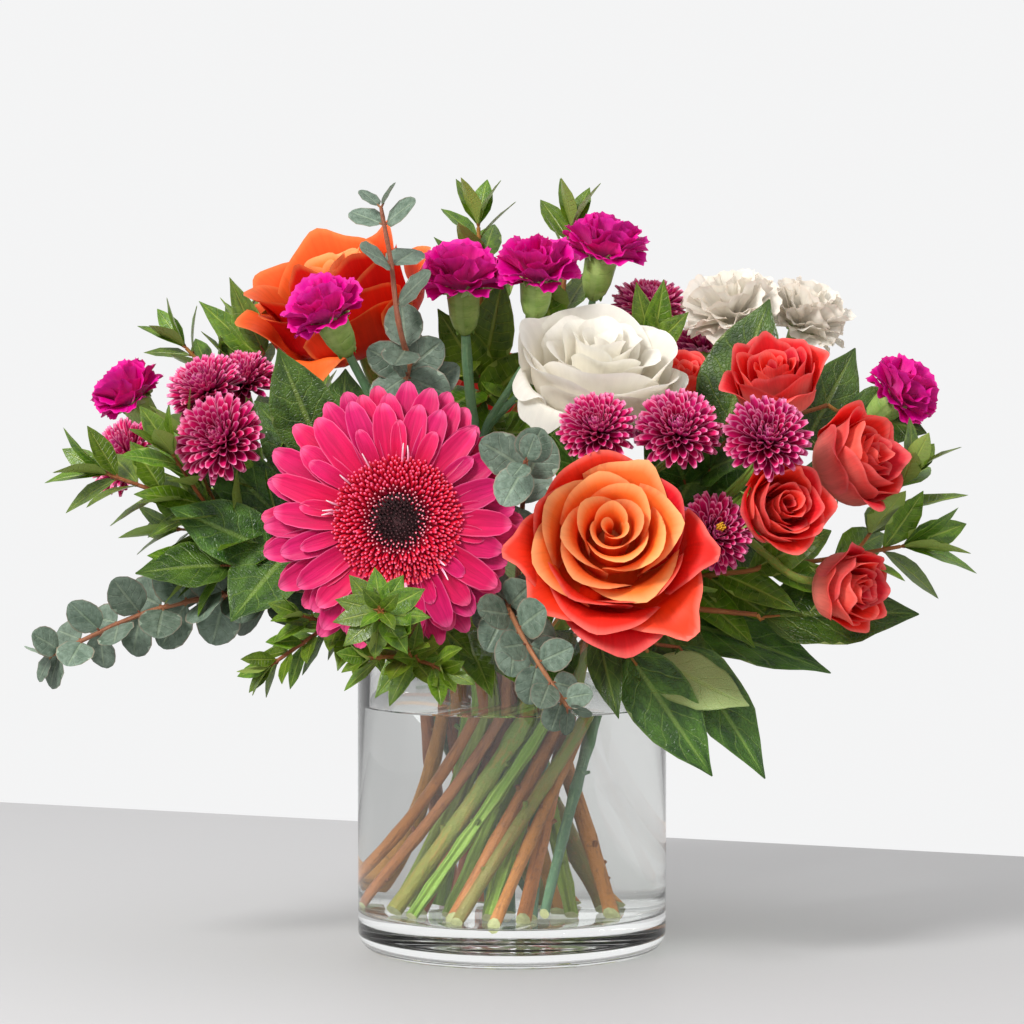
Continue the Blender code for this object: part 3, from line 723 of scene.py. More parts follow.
# Materials of the gerbera's disc
RED_SLOT = 2
EYE_SLOT = 3
FLECK_SLOT = 4
FILAMENT_SLOT = 5


def gerbera_ray(piece, turn, radius, reach, level, width, rise, droop, inner):
    """One ray petal with two long grooves, a blunt tip and a slight droop."""
    rng = piece.random
    lopsided = 1 - 0.055 * math.cos(turn) + 0.03 * math.sin(turn)
    length = reach * lopsided * rng.uniform(0.94, 1.05) * radius / RAY_REACH_RADIUS - inner
    along, across = petal_grid(eased(9) ** 0.9, 9)
    half = width / 2 * rng.uniform(0.92, 1.08) * np.interp(along, RAY_STATIONS, RAY_WIDTHS)
    lift = rise * rng.uniform(0.6, 1.3) + rng.uniform(-0.03, 0.03)
    groove = np.exp(-((np.abs(across) - 0.36) / 0.13) ** 2) * ease(along, 0.02, 0.3)
    z = level + length * (lift * along - (droop + 0.5 * lift) * along ** 2.2)
    z = z + 0.22 * half * across ** 2 - 0.65 * groove
    z = z + rng.uniform(-0.4, 0.4) * along + 0.5 * rng.uniform(-1, 1) * across * along
    x = inner + length * along
    y = across * half + rng.uniform(-0.05, 0.05) * length * along ** 2
    points = [x * math.cos(turn) + y * math.sin(turn), x * math.sin(turn) - y * math.cos(turn), z]
    piece.sheet(np.stack(points, axis=2), along, across, 0.45, 0)


def disc_floret(piece, out, share):
    """One floret of the gerbera's disc: dark in the eye, pale-tipped in a ring, and red further out."""
    rng = piece.random
    crown = 2.2 * math.sin(min(share / 0.6, 1) * math.pi / 2)
    level = 13.4 + crown - 3.0 * max(0, share - 0.6)
    root = out * DISC_RADIUS * share * 0.92 + UP * (level - 3.0)
    if share < 0.33:
        size, tall, slot = 0.62, 2.4 + 1.6 * share, EYE_SLOT
    elif share < 0.54:
        size, tall, slot = 0.50, 3.4, FLECK_SLOT
    else:
        size, tall, slot = 0.66, 4.2, RED_SLOT
    lean = out * (0.25 + 1.1 * max(0, share - 0.4)) + UP
    lean = unit(lean + np.array([rng.uniform(-0.18, 0.18), rng.uniform(-0.18, 0.18), 0]))
    tall *= rng.uniform(0.85, 1.2)
    route = [root, root + lean * tall * 0.5, root + unit(lean + out * 0.25 * share) * tall * 0.85,
             root + unit(lean + out * 0.35 * share) * tall]
    piece.tube(route, [size * 0.55, size * 0.65, size, size * 0.35], 5, slot)


def filament(piece):
    """One pale thread that stands out over the disc's rim."""
    rng = piece.random
    out = outward(rng.uniform(0.9, 6.1))
    root = out * rng.uniform(21, 24) + UP * 12.5
    reach = rng.uniform(4, 7.5)
    bend = np.array([rng.uniform(-1, 1), rng.uniform(-1, 1), 0])
    middle = root + out * reach * 0.5 + UP * 2.4 + bend * 0.5
    tip = root + out * reach + UP * 3.0 + bend * 1.6
    piece.tube([root, middle, tip], [0.5, 0.42, 0.18], 5, FILAMENT_SLOT)


def gerbera(piece, radius, height):
    """Gerbera: layers of ray petals, a ring of small pale-tipped florets and a dark eye."""
    rng = piece.random
    piece.tube(upright((-0.1, 2.0, 5.0, 8.5)), [4.0, 7.5, 10.5, 12.0], 16, GREEN_SLOT)
    for k in range(20):
        out = outward(2 * math.pi * k / 20)
        piece.leaf(out * 9 + UP * 3.5, out * 0.8 + UP * 0.6, out * -0.6 + UP * 0.8, 9, 3, "sepal",
                   0.2, 0.1, 0.0, 5, 3)
    for number, (count, *form) in enumerate(RAY_LAYERS):
        for k in range(count):
            turn = 2 * math.pi * (k + 0.5 * (number % 2) + rng.uniform(-0.16, 0.16)) / count
            gerbera_ray(piece, turn, radius, *form)
    piece.tube(upright((8.0, 10.0, 11.2, 11.6)), [16.0, 14.0, 9.0, 3.0], 20, EYE_SLOT)
    for k in range(DISC_FLORETS):
        disc_floret(piece, outward(k * GOLDEN_ANGLE), math.sqrt((k + 0.5) / DISC_FLORETS))
    for _ in range(13):
        filament(piece)


def mum(piece, radius, height, count=150):
    """Button mum: spoon petals set in a spiral over a dome, from the tight heart to the drooping rim."""
    rng = piece.random
    piece.tube(upright((-0.1, 1.5, 3.2, 5.0)), [2.6, 4.6, 5.2, 4.0], 10, GREEN_SLOT)
    core = UP * height * 0.30
    for k in range(count):
        share = (k + 0.5) / count
        polar = math.radians(6 + 102 * share ** 0.62)
        direction = unit(tilted(outward(k * GOLDEN_ANGLE), polar) + scatter(rng, 1) * 0.07)
        length = radius * (0.60 + 0.38 * ease(share, 0.05, 0.6)) * rng.uniform(0.9, 1.06)
        if share < 0.1:
            length *= 0.82
        inward = square_to(UP, direction)
        side = np.cross(direction, inward)
        along, across = petal_grid(np.linspace(0, 1, 6), 5)
        width = radius * 0.225 * (0.6 + 0.4 * ease(share, 0, 0.5))
        half = width / 2 * np.interp(along, (0, 0.4, 0.66, 0.86, 1), (0.4, 0.62, 1.0, 1.0, 0.45))
        spoon = 0.10 * along ** 2 + 0.16 * ease(along, 0.6, 1.0) * (1 - share * 0.7)
        hollow = 0.95 * half * across ** 2 + length * spoon
        middle = (core + direction * radius * 0.1 + direction * (along * length)[..., None]
                  + side * (across * half)[..., None] + inward * hollow[..., None])
        piece.sheet(middle, along, across, 0.4, 0)
    if piece.name == "mum_right_b_bloom":
        for k in range(14):
            root = core + outward(k * GOLDEN_ANGLE) * 0.45 * math.sqrt(k) + UP * radius * 0.62
            piece.tube([root, root + UP * 1.2, root + UP * 2.0], [0.45, 0.5, 0.2], 5, POLLEN_SLOT)


def carnation(piece, radius, height, tube_share=0.50, petals=26, green=4.6, lobes=7, flare=84):
    """Carnation: a ribbed green calyx with five teeth, and ruffled, fringed petals that fan out of it."""
    rng = piece.random
    neck = height * tube_share
    piece.tube(upright((-0.05, 1.2, 3.5, 8.0, neck - 2, neck)),
               [1.8, 3.0, 0.5 * green + 1.4, 0.9 * green, green, green * 0.98], 20, GREEN_SLOT,
               flute=0.03, flutes=10)
    for k in range(5):
        out = outward(2 * math.pi * k / 5)
        piece.leaf(out * green * 0.98 + UP * (neck - 1.2), out * 0.25 + UP, -out, 4.6, green * 1.15, "sepal",
                   -0.5, 0.05, 0.0, 5, 5, 0.5)
    for k in range(2):
        out = outward(k * math.pi)
        piece.leaf(out * 2.6 + UP * 0.5, out * 0.2 + UP, -out, 6.0, 5.0, "sepal", -0.4, 0.0, 0.0, 5, 5, 0.5)
    for k in range(petals):
        share = (k + 0.5) / petals
        turn = k * GOLDEN_ANGLE
        polar = math.radians(4 + flare * share ** 0.85)
        out = outward(turn)
        side = np.array([-math.sin(turn), math.cos(turn), 0])
        direction = tilted(out, polar)
        normal = UP * math.sin(polar) - out * math.cos(polar)
        length = (height - neck + 2) * math.cos(polar) + radius * math.sin(polar)
        length *= rng.uniform(0.86, 1.06)
        along, across = petal_grid(np.linspace(0, 1, 9) ** 0.8, 23)
        phase = rng.uniform(0, WHOLE_TURN)
        fringe = 1 - 0.055 * np.abs(np.sin(across * 10 + phase)) - 0.10 * np.abs(across) ** 3
        s = along * fringe
        fan = across * math.radians(rng.uniform(34, 48)) * ease(s, 0.0, 0.35)
        wobble = radius * 0.16 * ease(s, 0.25, 1.0) * np.sin(across * lobes * 0.55 + phase)
        wobble = wobble + radius * 0.055 * ease(s, 0.6, 1.0) * np.sin(across * lobes * 1.9 + phase * 3)
        lift = -0.16 * length * s ** 3 * share + 2.0 * ease(s, 0, 0.3)
        root = UP * (neck - 2.5) + out * green * 0.45 * math.sqrt(share)
        middle = root + (direction * (length * s * np.cos(fan))[..., None]
                         + side * (length * s * np.sin(fan))[..., None]
                         + normal * wobble[..., None] + UP * lift[..., None])
        piece.sheet(middle[:, ::-1], along, across, 0.3, 0)


# ---------------- stems and foliage

def step_at(route, k):
    """A point of a route and the direction that the route takes from it."""
    start = np.array(route[k])
    return start, unit(np.array(route[k + 1]) - start)


def trimmed_shoots(piece, route, radius):
    """Short stubs where leaves and side shoots were cut off the stretch in the water."""
    rng = piece.random
    for _ in range(3):
        start, tangent = step_at(route, rng.randrange(2, FOOT_STEPS - 1))
        away = square_to(scatter(rng, 1), tangent)
        heading = unit(away + tangent * 0.9)
        length = radius + rng.uniform(1.2, 2.8)
        piece.tube([start, start + heading * length * 0.6, start + heading * length],
                   [radius * 0.7, radius * 0.45, radius * 0.38])


# Stems by their bark: how much thicker they are in the water, depth of their ribs, sides of the tube
STEM_FORMS = {
    "pale": (1.25, 0.0, 10),
    "rose": (1.06, 0.0, 10),
    "green": (1.12, 0.07, 15),
    "blue": (1.06, 0.02, 10),
}
# Spacing of the nodes on a stem, and thickness of its side shoots as a share of its own
NODE_GAP = 21.0
SHOOT_SIZE = 0.72


def grow_stem(piece, routes, radius, bark):
    """A flower's stem with its side shoots, its nodes and its slanting cut foot."""
    wet_girth, flute, sides = STEM_FORMS[bark]
    has_nodes = bark != "pale"
    for number, route in enumerate(routes):
        main = number == 0
        size = radius if main else radius * SHOOT_SIZE
        shift = piece.random.uniform(0, NODE_GAP)
        radii = []
        for k, length in enumerate(lengths_along(route)):
            near = abs((length + shift + NODE_GAP / 2) % NODE_GAP - NODE_GAP / 2)
            swell = 0.22 * math.exp(-(near / 2.2) ** 2) if has_nodes else 0.0
            girth = wet_girth if main and k <= FOOT_STEPS else 1.0
            radii.append(size * (1.0 + swell) * girth)
        radii[-1] *= 0.9
        piece.tube(route, radii, sides, end_slot=STEM_CUT_SLOT if main else 0, flute=flute,
                   slant=0.55 if main else 0.0)
        if main and has_nodes:
            trimmed_shoots(piece, route, size)


# Ways that leaves turn their upper faces: to the front, or to the front and the sky
FRONT = np.array([0.0, -0.9, 0.5])
ABOVE = np.array([0.0, -0.45, 0.75])

# Leaves that stand in crossed pairs along a twig. The size of a pair and of the leaves at the tip is a share
# of the sprig's own, and the facing is how much a leaf looks along the twig and where it looks otherwise.
PAIRED_LEAVES = {
    "round": dict(length=22.5, width=20.0, gap=14.5, angle=62, fold=0.10, droop=0.05, cols=7,
                  thickness=0.4, stalk=1.6, pair_size=0.97, facing=(0.3, FRONT),
                  tips=2, tip_lean=0.9, tip_size=0.5),
    "lance": dict(length=37.0, width=17.0, gap=11.5, angle=42, fold=0.20, droop=0.14, cols=5,
                  thickness=0.35, stalk=1.2, pair_size=1.0, facing=(0.8, ABOVE),
                  tips=4, tip_lean=0.35, tip_size=0.72),
}
# A twig has no leaves below this height within this distance of the vase's axis
BARE_BELOW = 128
BARE_WITHIN = 66


def in_a_bloom(point, share=0.95):
    """Whether a point lies within the room of a bloom."""
    for seat in SEATS.values():
        away = Vector(point) - seat.centre
        along = away.dot(seat.axis)
        level = abs(along) < seat.height / 2 * share + 1
        if level and (away - seat.axis * along).length < seat.radius * share:
            return True
    return False


def leaf_on_twig(piece, base, direction, facing, kind, scale):
    """One leaf of a sprig, on a short stalk, unless it would run into a bloom."""
    form = PAIRED_LEAVES[kind]
    rng = piece.random
    length = form["length"] * (scale * rng.uniform(0.88, 1.1))
    width = form["width"] * (scale * rng.uniform(0.9, 1.08))
    direction = unit(direction)
    if any(in_a_bloom(base + direction * length * share) for share in (0.35, 0.7, 1.0)):
        return
    start = base + direction * form["stalk"]
    piece.tube([base, (base + start) / 2, start + direction * 0.8], [0.55, 0.5, 0.45], 5)
    fold = form["fold"] * rng.uniform(0.6, 1.3)
    droop = form["droop"] * rng.uniform(0.2, 1.5)
    piece.leaf(start, direction, facing, length, width, kind, fold, droop, 0.05, 9, form["cols"],
               form["thickness"], rng.uniform(-0.05, 0.05))


def clothe(piece, route, kind, reach, scale=1.0, spacing=1.0):
    """Sets pairs of leaves along the upper reach of a twig, each pair crossing the last."""
    form = PAIRED_LEAVES[kind]
    rng = piece.random
    gap = form["gap"] * spacing
    route = [np.array(point) for point in route]
    tangent = unit(route[-1] - route[-2])
    side = square_to((0.4, -0.3, 0.9), tangent)
    for k in range(form["tips"]):
        turn = k * 2 * math.pi / form["tips"]
        out = square_to(side * math.cos(turn) + np.cross(tangent, side) * math.sin(turn), tangent)
        facing = unit(tangent * 0.6 - out * 0.4 + np.array([0, -0.3, 0.4]))
        leaf_on_twig(piece, route[-1], unit(tangent + out * form["tip_lean"]), facing, kind,
                     scale * form["tip_size"])
    walked, due, turn = 0.0, gap * 0.42, 0.0
    for after, before in zip(route[::-1], route[-2::-1]):
        span = np.linalg.norm(before - after)
        while walked + span > due:
            point = after + (before - after) * ((due - walked) / span)
            tangent = unit(after - before)
            side = square_to(side, tangent)
            crossed = unit(side * math.cos(turn) + np.cross(tangent, side) * math.sin(turn))
            age = min(1.0, 0.7 + 0.6 * due / max(reach, 1))
            onward, towards = form["facing"]
            for out in (crossed, -crossed):
                lean = math.radians(form["angle"] * rng.uniform(0.85, 1.2))
                direction = tangent * math.cos(lean) + out * math.sin(lean)
                facing = tangent * onward + towards - direction * 0.2 + scatter(rng, 0.3)
                leaf_on_twig(piece, point, direction, facing, kind, scale * age * form["pair_size"])
            turn += math.pi / 2 + rng.uniform(-0.25, 0.25)
            due += gap * rng.uniform(0.85, 1.15)
            if due > reach or (point[2] < BARE_BELOW and math.hypot(point[0], point[1]) < BARE_WITHIN):
                return
        walked += span


# Leaves set one by one: base, tip, width and the way the upper face looks (mm)
SET_LEAVES = {
    "salal_upper_right": (
        ((86, -20, 213), (102, -24, 267), 35, (-0.35, -0.9, 0.2)),
        ((120, 8, 206), (143, 12, 248), 27, (0.1, -0.95, 0.1)),
        ((138, 6, 222), (171, 2, 214), 27, (0.1, -0.9, 0.45)),
        ((96, 10, 190), (78, 20, 236), 28, (-0.3, -0.8, 0.5)),
        ((72, 6, 190), (60, -22, 224), 27, (-0.2, -0.9, 0.3)),
        ((80, 4, 196), (97, -34, 208), 26, (0.2, -0.9, 0.4)),
        ((66, 6, 182), (85, -30, 180), 26, (0.2, -0.8, 0.5)),
        ((60, 6, 172), (72, -30, 158), 26, (0.0, -0.9, 0.4)),
        ((84, 4, 200), (112, -18, 196), 26, (0.2, -0.9, 0.3)),
        ((70, 10, 178), (128, 4, 158), 34, (0.1, -0.9, 0.4)),
        ((62, 8, 172), (84, -2, 212), 28, (-0.1, -0.9, 0.3)),
        ((54, 10, 168), (13, -20, 216), 28, (-0.2, -0.9, 0.3)),
        ((76, 8, 190), (130, 10, 188), 30, (0.0, -0.9, 0.4)),
    ),
    "myrtle_upper_left": (
        ((-104, 32, 246), (-119, 28, 277), 12, (-0.3, -0.9, 0.2)),
        ((-106, 32, 244), (-131, 30, 268), 12, (-0.2, -0.9, 0.4)),
        ((-112, 34, 238), (-124, 30, 262), 11, (-0.3, -0.9, 0.2)),
        ((-112, 34, 232), (-134, 32, 242), 12, (-0.1, -0.8, 0.6)),
    ),
    "myrtle_front": (
        ((-36, -72, 139), (-22, -84, 115), 13, (0.1, -0.9, 0.3)),
        ((-36, -78, 131), (-53, -90, 112), 12, (-0.2, -0.9, 0.3)),
        ((-33, -62, 141), (-15, -72, 126), 14, (0.2, -0.8, 0.5)),
        ((-60, -60, 143), (-68, -78, 122), 13, (-0.1, -0.9, 0.4)),
        ((-48, -56, 144), (-39, -72, 122), 14, (0.1, -0.9, 0.4)),
        ((-60, -60, 143), (-50, -76, 120), 12, (0.1, -0.9, 0.4)),
        ((-20, -46, 136), (-8, -74, 112), 15, (0.1, -0.9, 0.3)),
        ((-14, -40, 134), (4, -70, 116), 15, (0.2, -0.9, 0.3)),
        ((-26, -50, 136), (-28, -78, 112), 14, (0.0, -0.9, 0.3)),
        ((-51, -112, 146), (-67, -112, 150), 9, (-0.3, -0.9, 0.2)),
        ((-51, -111, 147), (-62, -111, 159), 9, (-0.2, -0.9, 0.1)),
        ((-50, -111, 147), (-52, -112, 162), 9, (0.0, -1.0, 0.1)),
        ((-49, -111, 147), (-41, -111, 159), 9, (0.2, -0.9, 0.1)),
        ((-48, -112, 146), (-33, -111, 154), 10, (0.3, -0.9, 0.3)),
        ((-48, -112, 144), (-31, -114, 144), 10, (0.3, -0.8, 0.5)),
        ((-49, -113, 143), (-39, -117, 130), 10, (0.2, -0.9, 0.4)),
        ((-50, -113, 143), (-52, -118, 128), 10, (0.0, -0.9, 0.4)),
        ((-51, -113, 143), (-64, -116, 133), 10, (-0.2, -0.9, 0.4)),
        ((-52, -113, 145), (-68, -114, 142), 9, (-0.3, -0.9, 0.4)),
        ((-50, -114, 147), (-56, -122, 154), 6, (-0.2, -0.7, 0.1)),
        ((-49, -114, 146), (-43, -122, 152), 6, (0.2, -0.7, 0.1)),
        ((-49, -115, 145), (-44, -124, 140), 6, (0.2, -0.7, 0.6)),
        ((-50, -115, 145), (-57, -124, 141), 6, (-0.2, -0.7, 0.6)),
    ),
    "myrtle_right": (
        ((84, -24, 156), (114, -46, 144), 16, (0.0, -0.8, 0.6)),
        ((70, -20, 152), (97, -44, 130), 17, (0.2, -0.8, 0.5)),
        ((98, -28, 158), (124, -42, 172), 16, (-0.2, -0.9, 0.4)),
        ((78, -22, 155), (106, -30, 138), 17, (0.1, -0.9, 0.4)),
        ((104, -29, 159), (136, -48, 150), 15, (0.0, -0.8, 0.6)),
    ),
    "eucalyptus_top": (
        ((-42, -38, 238), (-57, -44, 246), 15, (-0.2, -1.0, 0.1)),
        ((-42, -38, 238), (-28, -40, 249), 16, (0.2, -1.0, 0.1)),
        ((-42, -40, 235), (-56, -46, 226), 14, (-0.3, -0.9, 0.4)),
        ((-42, -40, 235), (-25, -44, 228), 16, (0.3, -0.9, 0.3)),
        ((-41, -37, 240), (-43, -38, 256), 14, (0.0, -1.0, 0.0)),
        ((-42, -44, 234), (-38, -51, 223), 10, (0.0, -0.9, 0.5)),
        ((-42, -44, 236), (-47, -51, 243), 9, (0.0, -0.8, 0.6)),
        ((-38, -30, 226), (-22, -32, 240), 14, (0.2, -0.9, 0.4)),
    ),
    "salal_lower_right": (
        ((101, -40, 139), (163, -40, 144), 36, (0.0, -0.75, 0.65)),
        ((66, -56, 128), (101, -72, 80), 27, (0.35, -0.85, 0.35)),
        ((57, -62, 124), (92, -74, 104), 26, (-0.1, 0.8, -0.6)),
        ((46, -64, 126), (77, -80, 80), 27, (-0.3, -0.9, 0.35)),
        ((62, -30, 138), (128, -44, 122), 32, (0.0, -0.6, 0.8)),
        ((34, -60, 134), (40, -84, 104), 14, (-0.3, -0.9, 0.3)),
        ((56, -40, 140), (74, -66, 116), 26, (0.2, -0.9, 0.4)),
        ((40, -44, 138), (50, -70, 118), 24, (0.1, -0.9, 0.3)),
        ((16, -40, 134), (20, -72, 114), 18, (0.1, -0.9, 0.4)),
    ),
    "salal_left": (
        ((-76, -46, 205), (-92, -58, 245), 27, (-0.1, -0.95, 0.25)),
        ((-86, -50, 168), (-110, -74, 142), 33, (-0.3, -0.9, 0.3)),
        ((-112, -50, 160), (-148, -60, 160), 25, (-0.1, -0.7, 0.7)),
        ((-92, -42, 178), (-128, -36, 214), 24, (-0.2, -0.8, 0.5)),
        ((-96, -50, 166), (-134, -58, 184), 26, (-0.2, -0.85, 0.4)),
        ((-72, -34, 192), (-104, -30, 226), 28, (-0.3, -0.8, 0.4)),
        ((-70, -30, 166), (-104, -24, 190), 30, (-0.2, -0.8, 0.5)),
        ((-62, -32, 194), (-50, -12, 234), 27, (0.1, -0.95, 0.2)),
        ((-68, -34, 204), (-68, -20, 240), 24, (-0.1, -0.95, 0.2)),
    ),
    "myrtle_top": (
        ((-12, 28, 226), (-38, 4, 198), 18, (-0.2, -0.9, 0.3)),
        ((-12, 28, 222), (8, -2, 190), 18, (0.2, -0.9, 0.3)),
        ((-11, 28, 214), (-12, -6, 176), 19, (0.0, -0.9, 0.3)),
        ((-13, 26, 246), (-44, 12, 236), 17, (-0.3, -0.9, 0.3)),
        ((-12, 28, 238), (16, 8, 226), 17, (0.2, -0.9, 0.3)),
        ((-13, 27, 230), (-32, -2, 222), 17, (-0.2, -0.8, 0.5)),
        ((-12, 28, 218), (-26, -10, 190), 18, (0.0, -0.8, 0.6)),
        ((-12, 28, 238), (-4, 16, 276), 20, (0.0, -1.0, 0.1)),
        ((-12, 28, 234), (-30, 8, 262), 19, (-0.2, -0.9, 0.2)),
        ((-12, 28, 226), (12, 4, 246), 20, (0.2, -0.9, 0.2)),
        ((-12, 28, 212), (14, 2, 214), 20, (0.2, -0.9, 0.4)),
        ((19, 37, 250), (10, 26, 282), 17, (-0.2, -0.9, 0.1)),
        ((58, 12, 247), (51, 6, 274), 11, (-0.2, -1.0, 0.1)),
        ((58, 12, 247), (63, 4, 275), 12, (0.2, -1.0, 0.1)),
        ((58, 12, 247), (72, 4, 262), 11, (0.2, -0.9, 0.4)),
    ),
    "salal_rear": (
        ((42, 96, 158), (60, 150, 160), 34, (0.2, 0.6, 0.8)),
        ((44, 104, 156), (14, 148, 152), 34, (-0.2, 0.6, 0.8)),
        ((70, 56, 164), (112, 92, 178), 32, (0.5, 0.4, 0.8)),
        ((84, 62, 172), (126, 44, 192), 30, (0.7, 0.2, 0.7)),
        ((34, 76, 152), (44, 118, 128), 32, (0.2, 0.9, 0.4)),
        ((24, 60, 148), (-22, 98, 152), 32, (-0.2, 0.8, 0.5)),
    ),
}


# A side shoot starts above this height and ends at least this far from the axis
SHOOT_LOWEST = 118
SHOOT_NEAREST = 40


def side_shoots(piece, route, count, scale):
    """Short leafy shoots that fill a sprig out, where there is room between the blooms."""
    rng = piece.random
    made = 0
    for _ in range(count * 8):
        if made == count:
            return
        start, tangent = step_at(route, int(rng.uniform(0.62, 0.9) * (len(route) - 1)))
        away = square_to((rng.uniform(-1, 1), rng.uniform(-1, 0.6), rng.uniform(-0.5, 1)), tangent)
        direction = unit(tangent * 0.75 + away * 0.7)
        length = rng.uniform(27, 38) * min(scale, 1.0)
        tip = start + direction * length
        if start[2] < SHOOT_LOWEST or math.hypot(tip[0], tip[1]) < SHOOT_NEAREST:
            continue
        if any(in_a_bloom(start + direction * length * part, 1.15) for part in (0.4, 0.7, 1.0, 1.4)):
            continue
        bend = UP * rng.uniform(-3, 4)
        shoot = [start + direction * length * part + bend * part * part for part in np.linspace(0, 1, 6)]
        piece.tube(shoot, np.linspace(0.9, 0.55, 6))
        clothe(piece, shoot, "lance", length * 0.95, min(scale, 0.84))
        made += 1


# Habit of each sprig whose leaves stand in pairs: size of the leaves, their spacing, leafy reach,
# and the side shoots on its twig and on its branch
HABITS = {
    "eucalyptus_top": (0.88, 1.15, 66, 0, 0), "eucalyptus_centre": (1.0, 0.9, 60, 0, 0),
    "eucalyptus_front": (0.80, 0.6, 84, 0, 0), "eucalyptus_left": (0.94, 0.6, 130, 0, 0),
    "myrtle_top": (0.84, 1.0, 50, 0, 0), "myrtle_left": (0.86, 0.8, 120, 5, 0),
    "myrtle_upper_left": (0.76, 0.9, 100, 2, 0), "myrtle_front": (0.54, 0.5, 52, 2, 1),
    "myrtle_right": (1.1, 1.6, 110, 1, 0), "myrtle_rear": (1.0, 1.0, 130, 3, 0),
}
BRANCH_REACH = 70
# Shape, rows and columns of a leaf set one by one, by the kind of its sprig
SET_LEAF_FORMS = {"round": ("round", 9, 7), "lance": ("broad", 11, 7), "broad": ("broad", 17, 13)}


def set_leaf(piece, routes, kind, base, tip, width, facing):
    """A leaf from the list, on a stalk that grows from the nearest point of its twig."""
    base, tip = np.array(base, float), np.array(tip, float)
    bearing = [np.array(point) for route in routes for point in route[FOOT_STEPS:]]
    nearest = min(bearing, key=lambda point: np.linalg.norm(point - base))
    stalk = [nearest, (nearest + base) / 2 - UP * 1.5, base, base * 0.9 + tip * 0.1]
    piece.tube(stalk, [0.9, 0.8, 0.75, 0.6])
    shape, rows, cols = SET_LEAF_FORMS[kind]
    piece.leaf(base, tip - base, facing, np.linalg.norm(tip - base), width, shape,
               0.14, 0.10, 0.07, rows, cols, 0.4)


def grow_sprig(piece, routes, radius, kind):
    """A sprig of foliage: its woody twig, and its leaves in crossed pairs or set one by one."""
    for number, route in enumerate(routes):
        main = number == 0
        radii = []
        for k in range(len(route)):
            share = k / (len(route) - 1)
            knot = 0.12 * math.exp(-(((k + number * 2) % 5) / 0.8) ** 2)
            water = 0.42 * (1 - ease(share, 0.28, 0.5)) if main else 0.0
            girth = (1.0 if main else 0.8) * (1 - share) + 0.5 * share + water
            radii.append(radius * girth * (1 + knot + piece.random.uniform(-0.03, 0.03)))
        piece.tube(route, radii, 9, end_slot=TWIG_CUT_SLOT if main else 0, slant=0.9 if main else 0.0)
        if main:
            trimmed_shoots(piece, route, radius * 1.2)
        if piece.name in HABITS:
            scale, spacing, reach, shoots, branch_shoots = HABITS[piece.name]
            clothe(piece, route, kind, reach if main else min(reach, BRANCH_REACH), scale, spacing)
            side_shoots(piece, route, shoots if main else branch_shoots, scale)
    for leaf in SET_LEAVES.get(piece.name, ()):
        set_leaf(piece, routes, kind, *leaf)


# ---------------- shader nodes

class Web:
    """A short way to lay out shader nodes."""

    def __init__(self, tree):
        self.tree = tree
        self.spot = 0

    def node(self, kind, inputs=None, **settings):
        node = self.tree.nodes.new(kind)
        self.spot += 1
        node.location = (200 * (self.spot % 12), -180 * (self.spot // 12))
        for key, value in settings.items():
            setattr(node, key, value)
        for key, value in (inputs or {}).items():
            if isinstance(value, bpy.types.NodeSocket):
                self.tree.links.new(value, node.inputs[key])
            else:
                node.inputs[key].default_value = value
        return node

    def math(self, operation, a, b=0.0, clamp=False):
        return self.node("ShaderNodeMath", {0: a, 1: b}, operation=operation, use_clamp=clamp).outputs[0]

    def times(self, a, b):
        return self.math("MULTIPLY", a, b)

    def mix(self, factor, a, b):
        return self.node("ShaderNodeMix", {0: factor, 6: a, 7: b}, data_type="RGBA").outputs[2]

    def span(self, value, low, high, to_low=0.0, to_high=1.0, **settings):
        inputs = {0: value, 1: low, 2: high, 3: to_low, 4: to_high}
        return self.node("ShaderNodeMapRange", inputs, **settings).outputs[0]

    def step(self, value, low, high, to_low=0.0, to_high=1.0):
        return self.span(value, low, high, to_low, to_high, interpolation_type="SMOOTHSTEP")

    def by_noise(self, value, to_low, to_high):
        """Spreads the middle of a noise, where most of it lies, over a range."""
        return self.span(value, 0.3, 0.7, to_low, to_high)

    def by_tint(self, tint, middle, spread):
        """Gives each petal, leaf or stem its own value round a middle one."""
        return self.span(tint, 0.0, 1.0, middle - spread, middle + spread)

    def ramp(self, factor, stops):
        node = self.node("ShaderNodeValToRGB", {0: factor})
        elements = node.color_ramp.elements
        while len(elements) < len(stops):
            elements.new(0.5)
        for element, (place, colour) in zip(elements, stops):
            element.position = place
            element.color = colour
        return node.outputs[0]

    def noise(self, vector, scale, detail=2.0, roughness=0.5, distortion=0.0):
        inputs = {"Vector": vector, "Scale": scale, "Detail": detail, "Roughness": roughness,
                  "Distortion": distortion}
        return self.node("ShaderNodeTexNoise", inputs).outputs[0]

    def noise_on(self, u, v, seed, across, along, *grain):
        """Noise on a sheet's own width and length, at two scales and from a seed."""
        return self.noise(self.join(self.times(u, across), self.times(v, along), seed), 1.0, *grain)

    def attribute(self, name):
        return self.node("ShaderNodeAttribute", attribute_name=name, attribute_type="GEOMETRY").outputs["Fac"]

    def uv(self):
        place = self.node("ShaderNodeTexCoord").outputs["UV"]
        return self.node("ShaderNodeSeparateXYZ", {0: place}).outputs[:2]

    def aside(self, u):
        """How far across a sheet: 0 on its midrib, 1 at its edge."""
        return self.times(self.math("ABSOLUTE", self.math("SUBTRACT", u, 0.5)), 2.0)

    def place(self):
        return self.node("ShaderNodeTexCoord").outputs["Object"]

    def join(self, x, y, z):
        return self.node("ShaderNodeCombineXYZ", {0: x, 1: y, 2: z}).outputs[0]


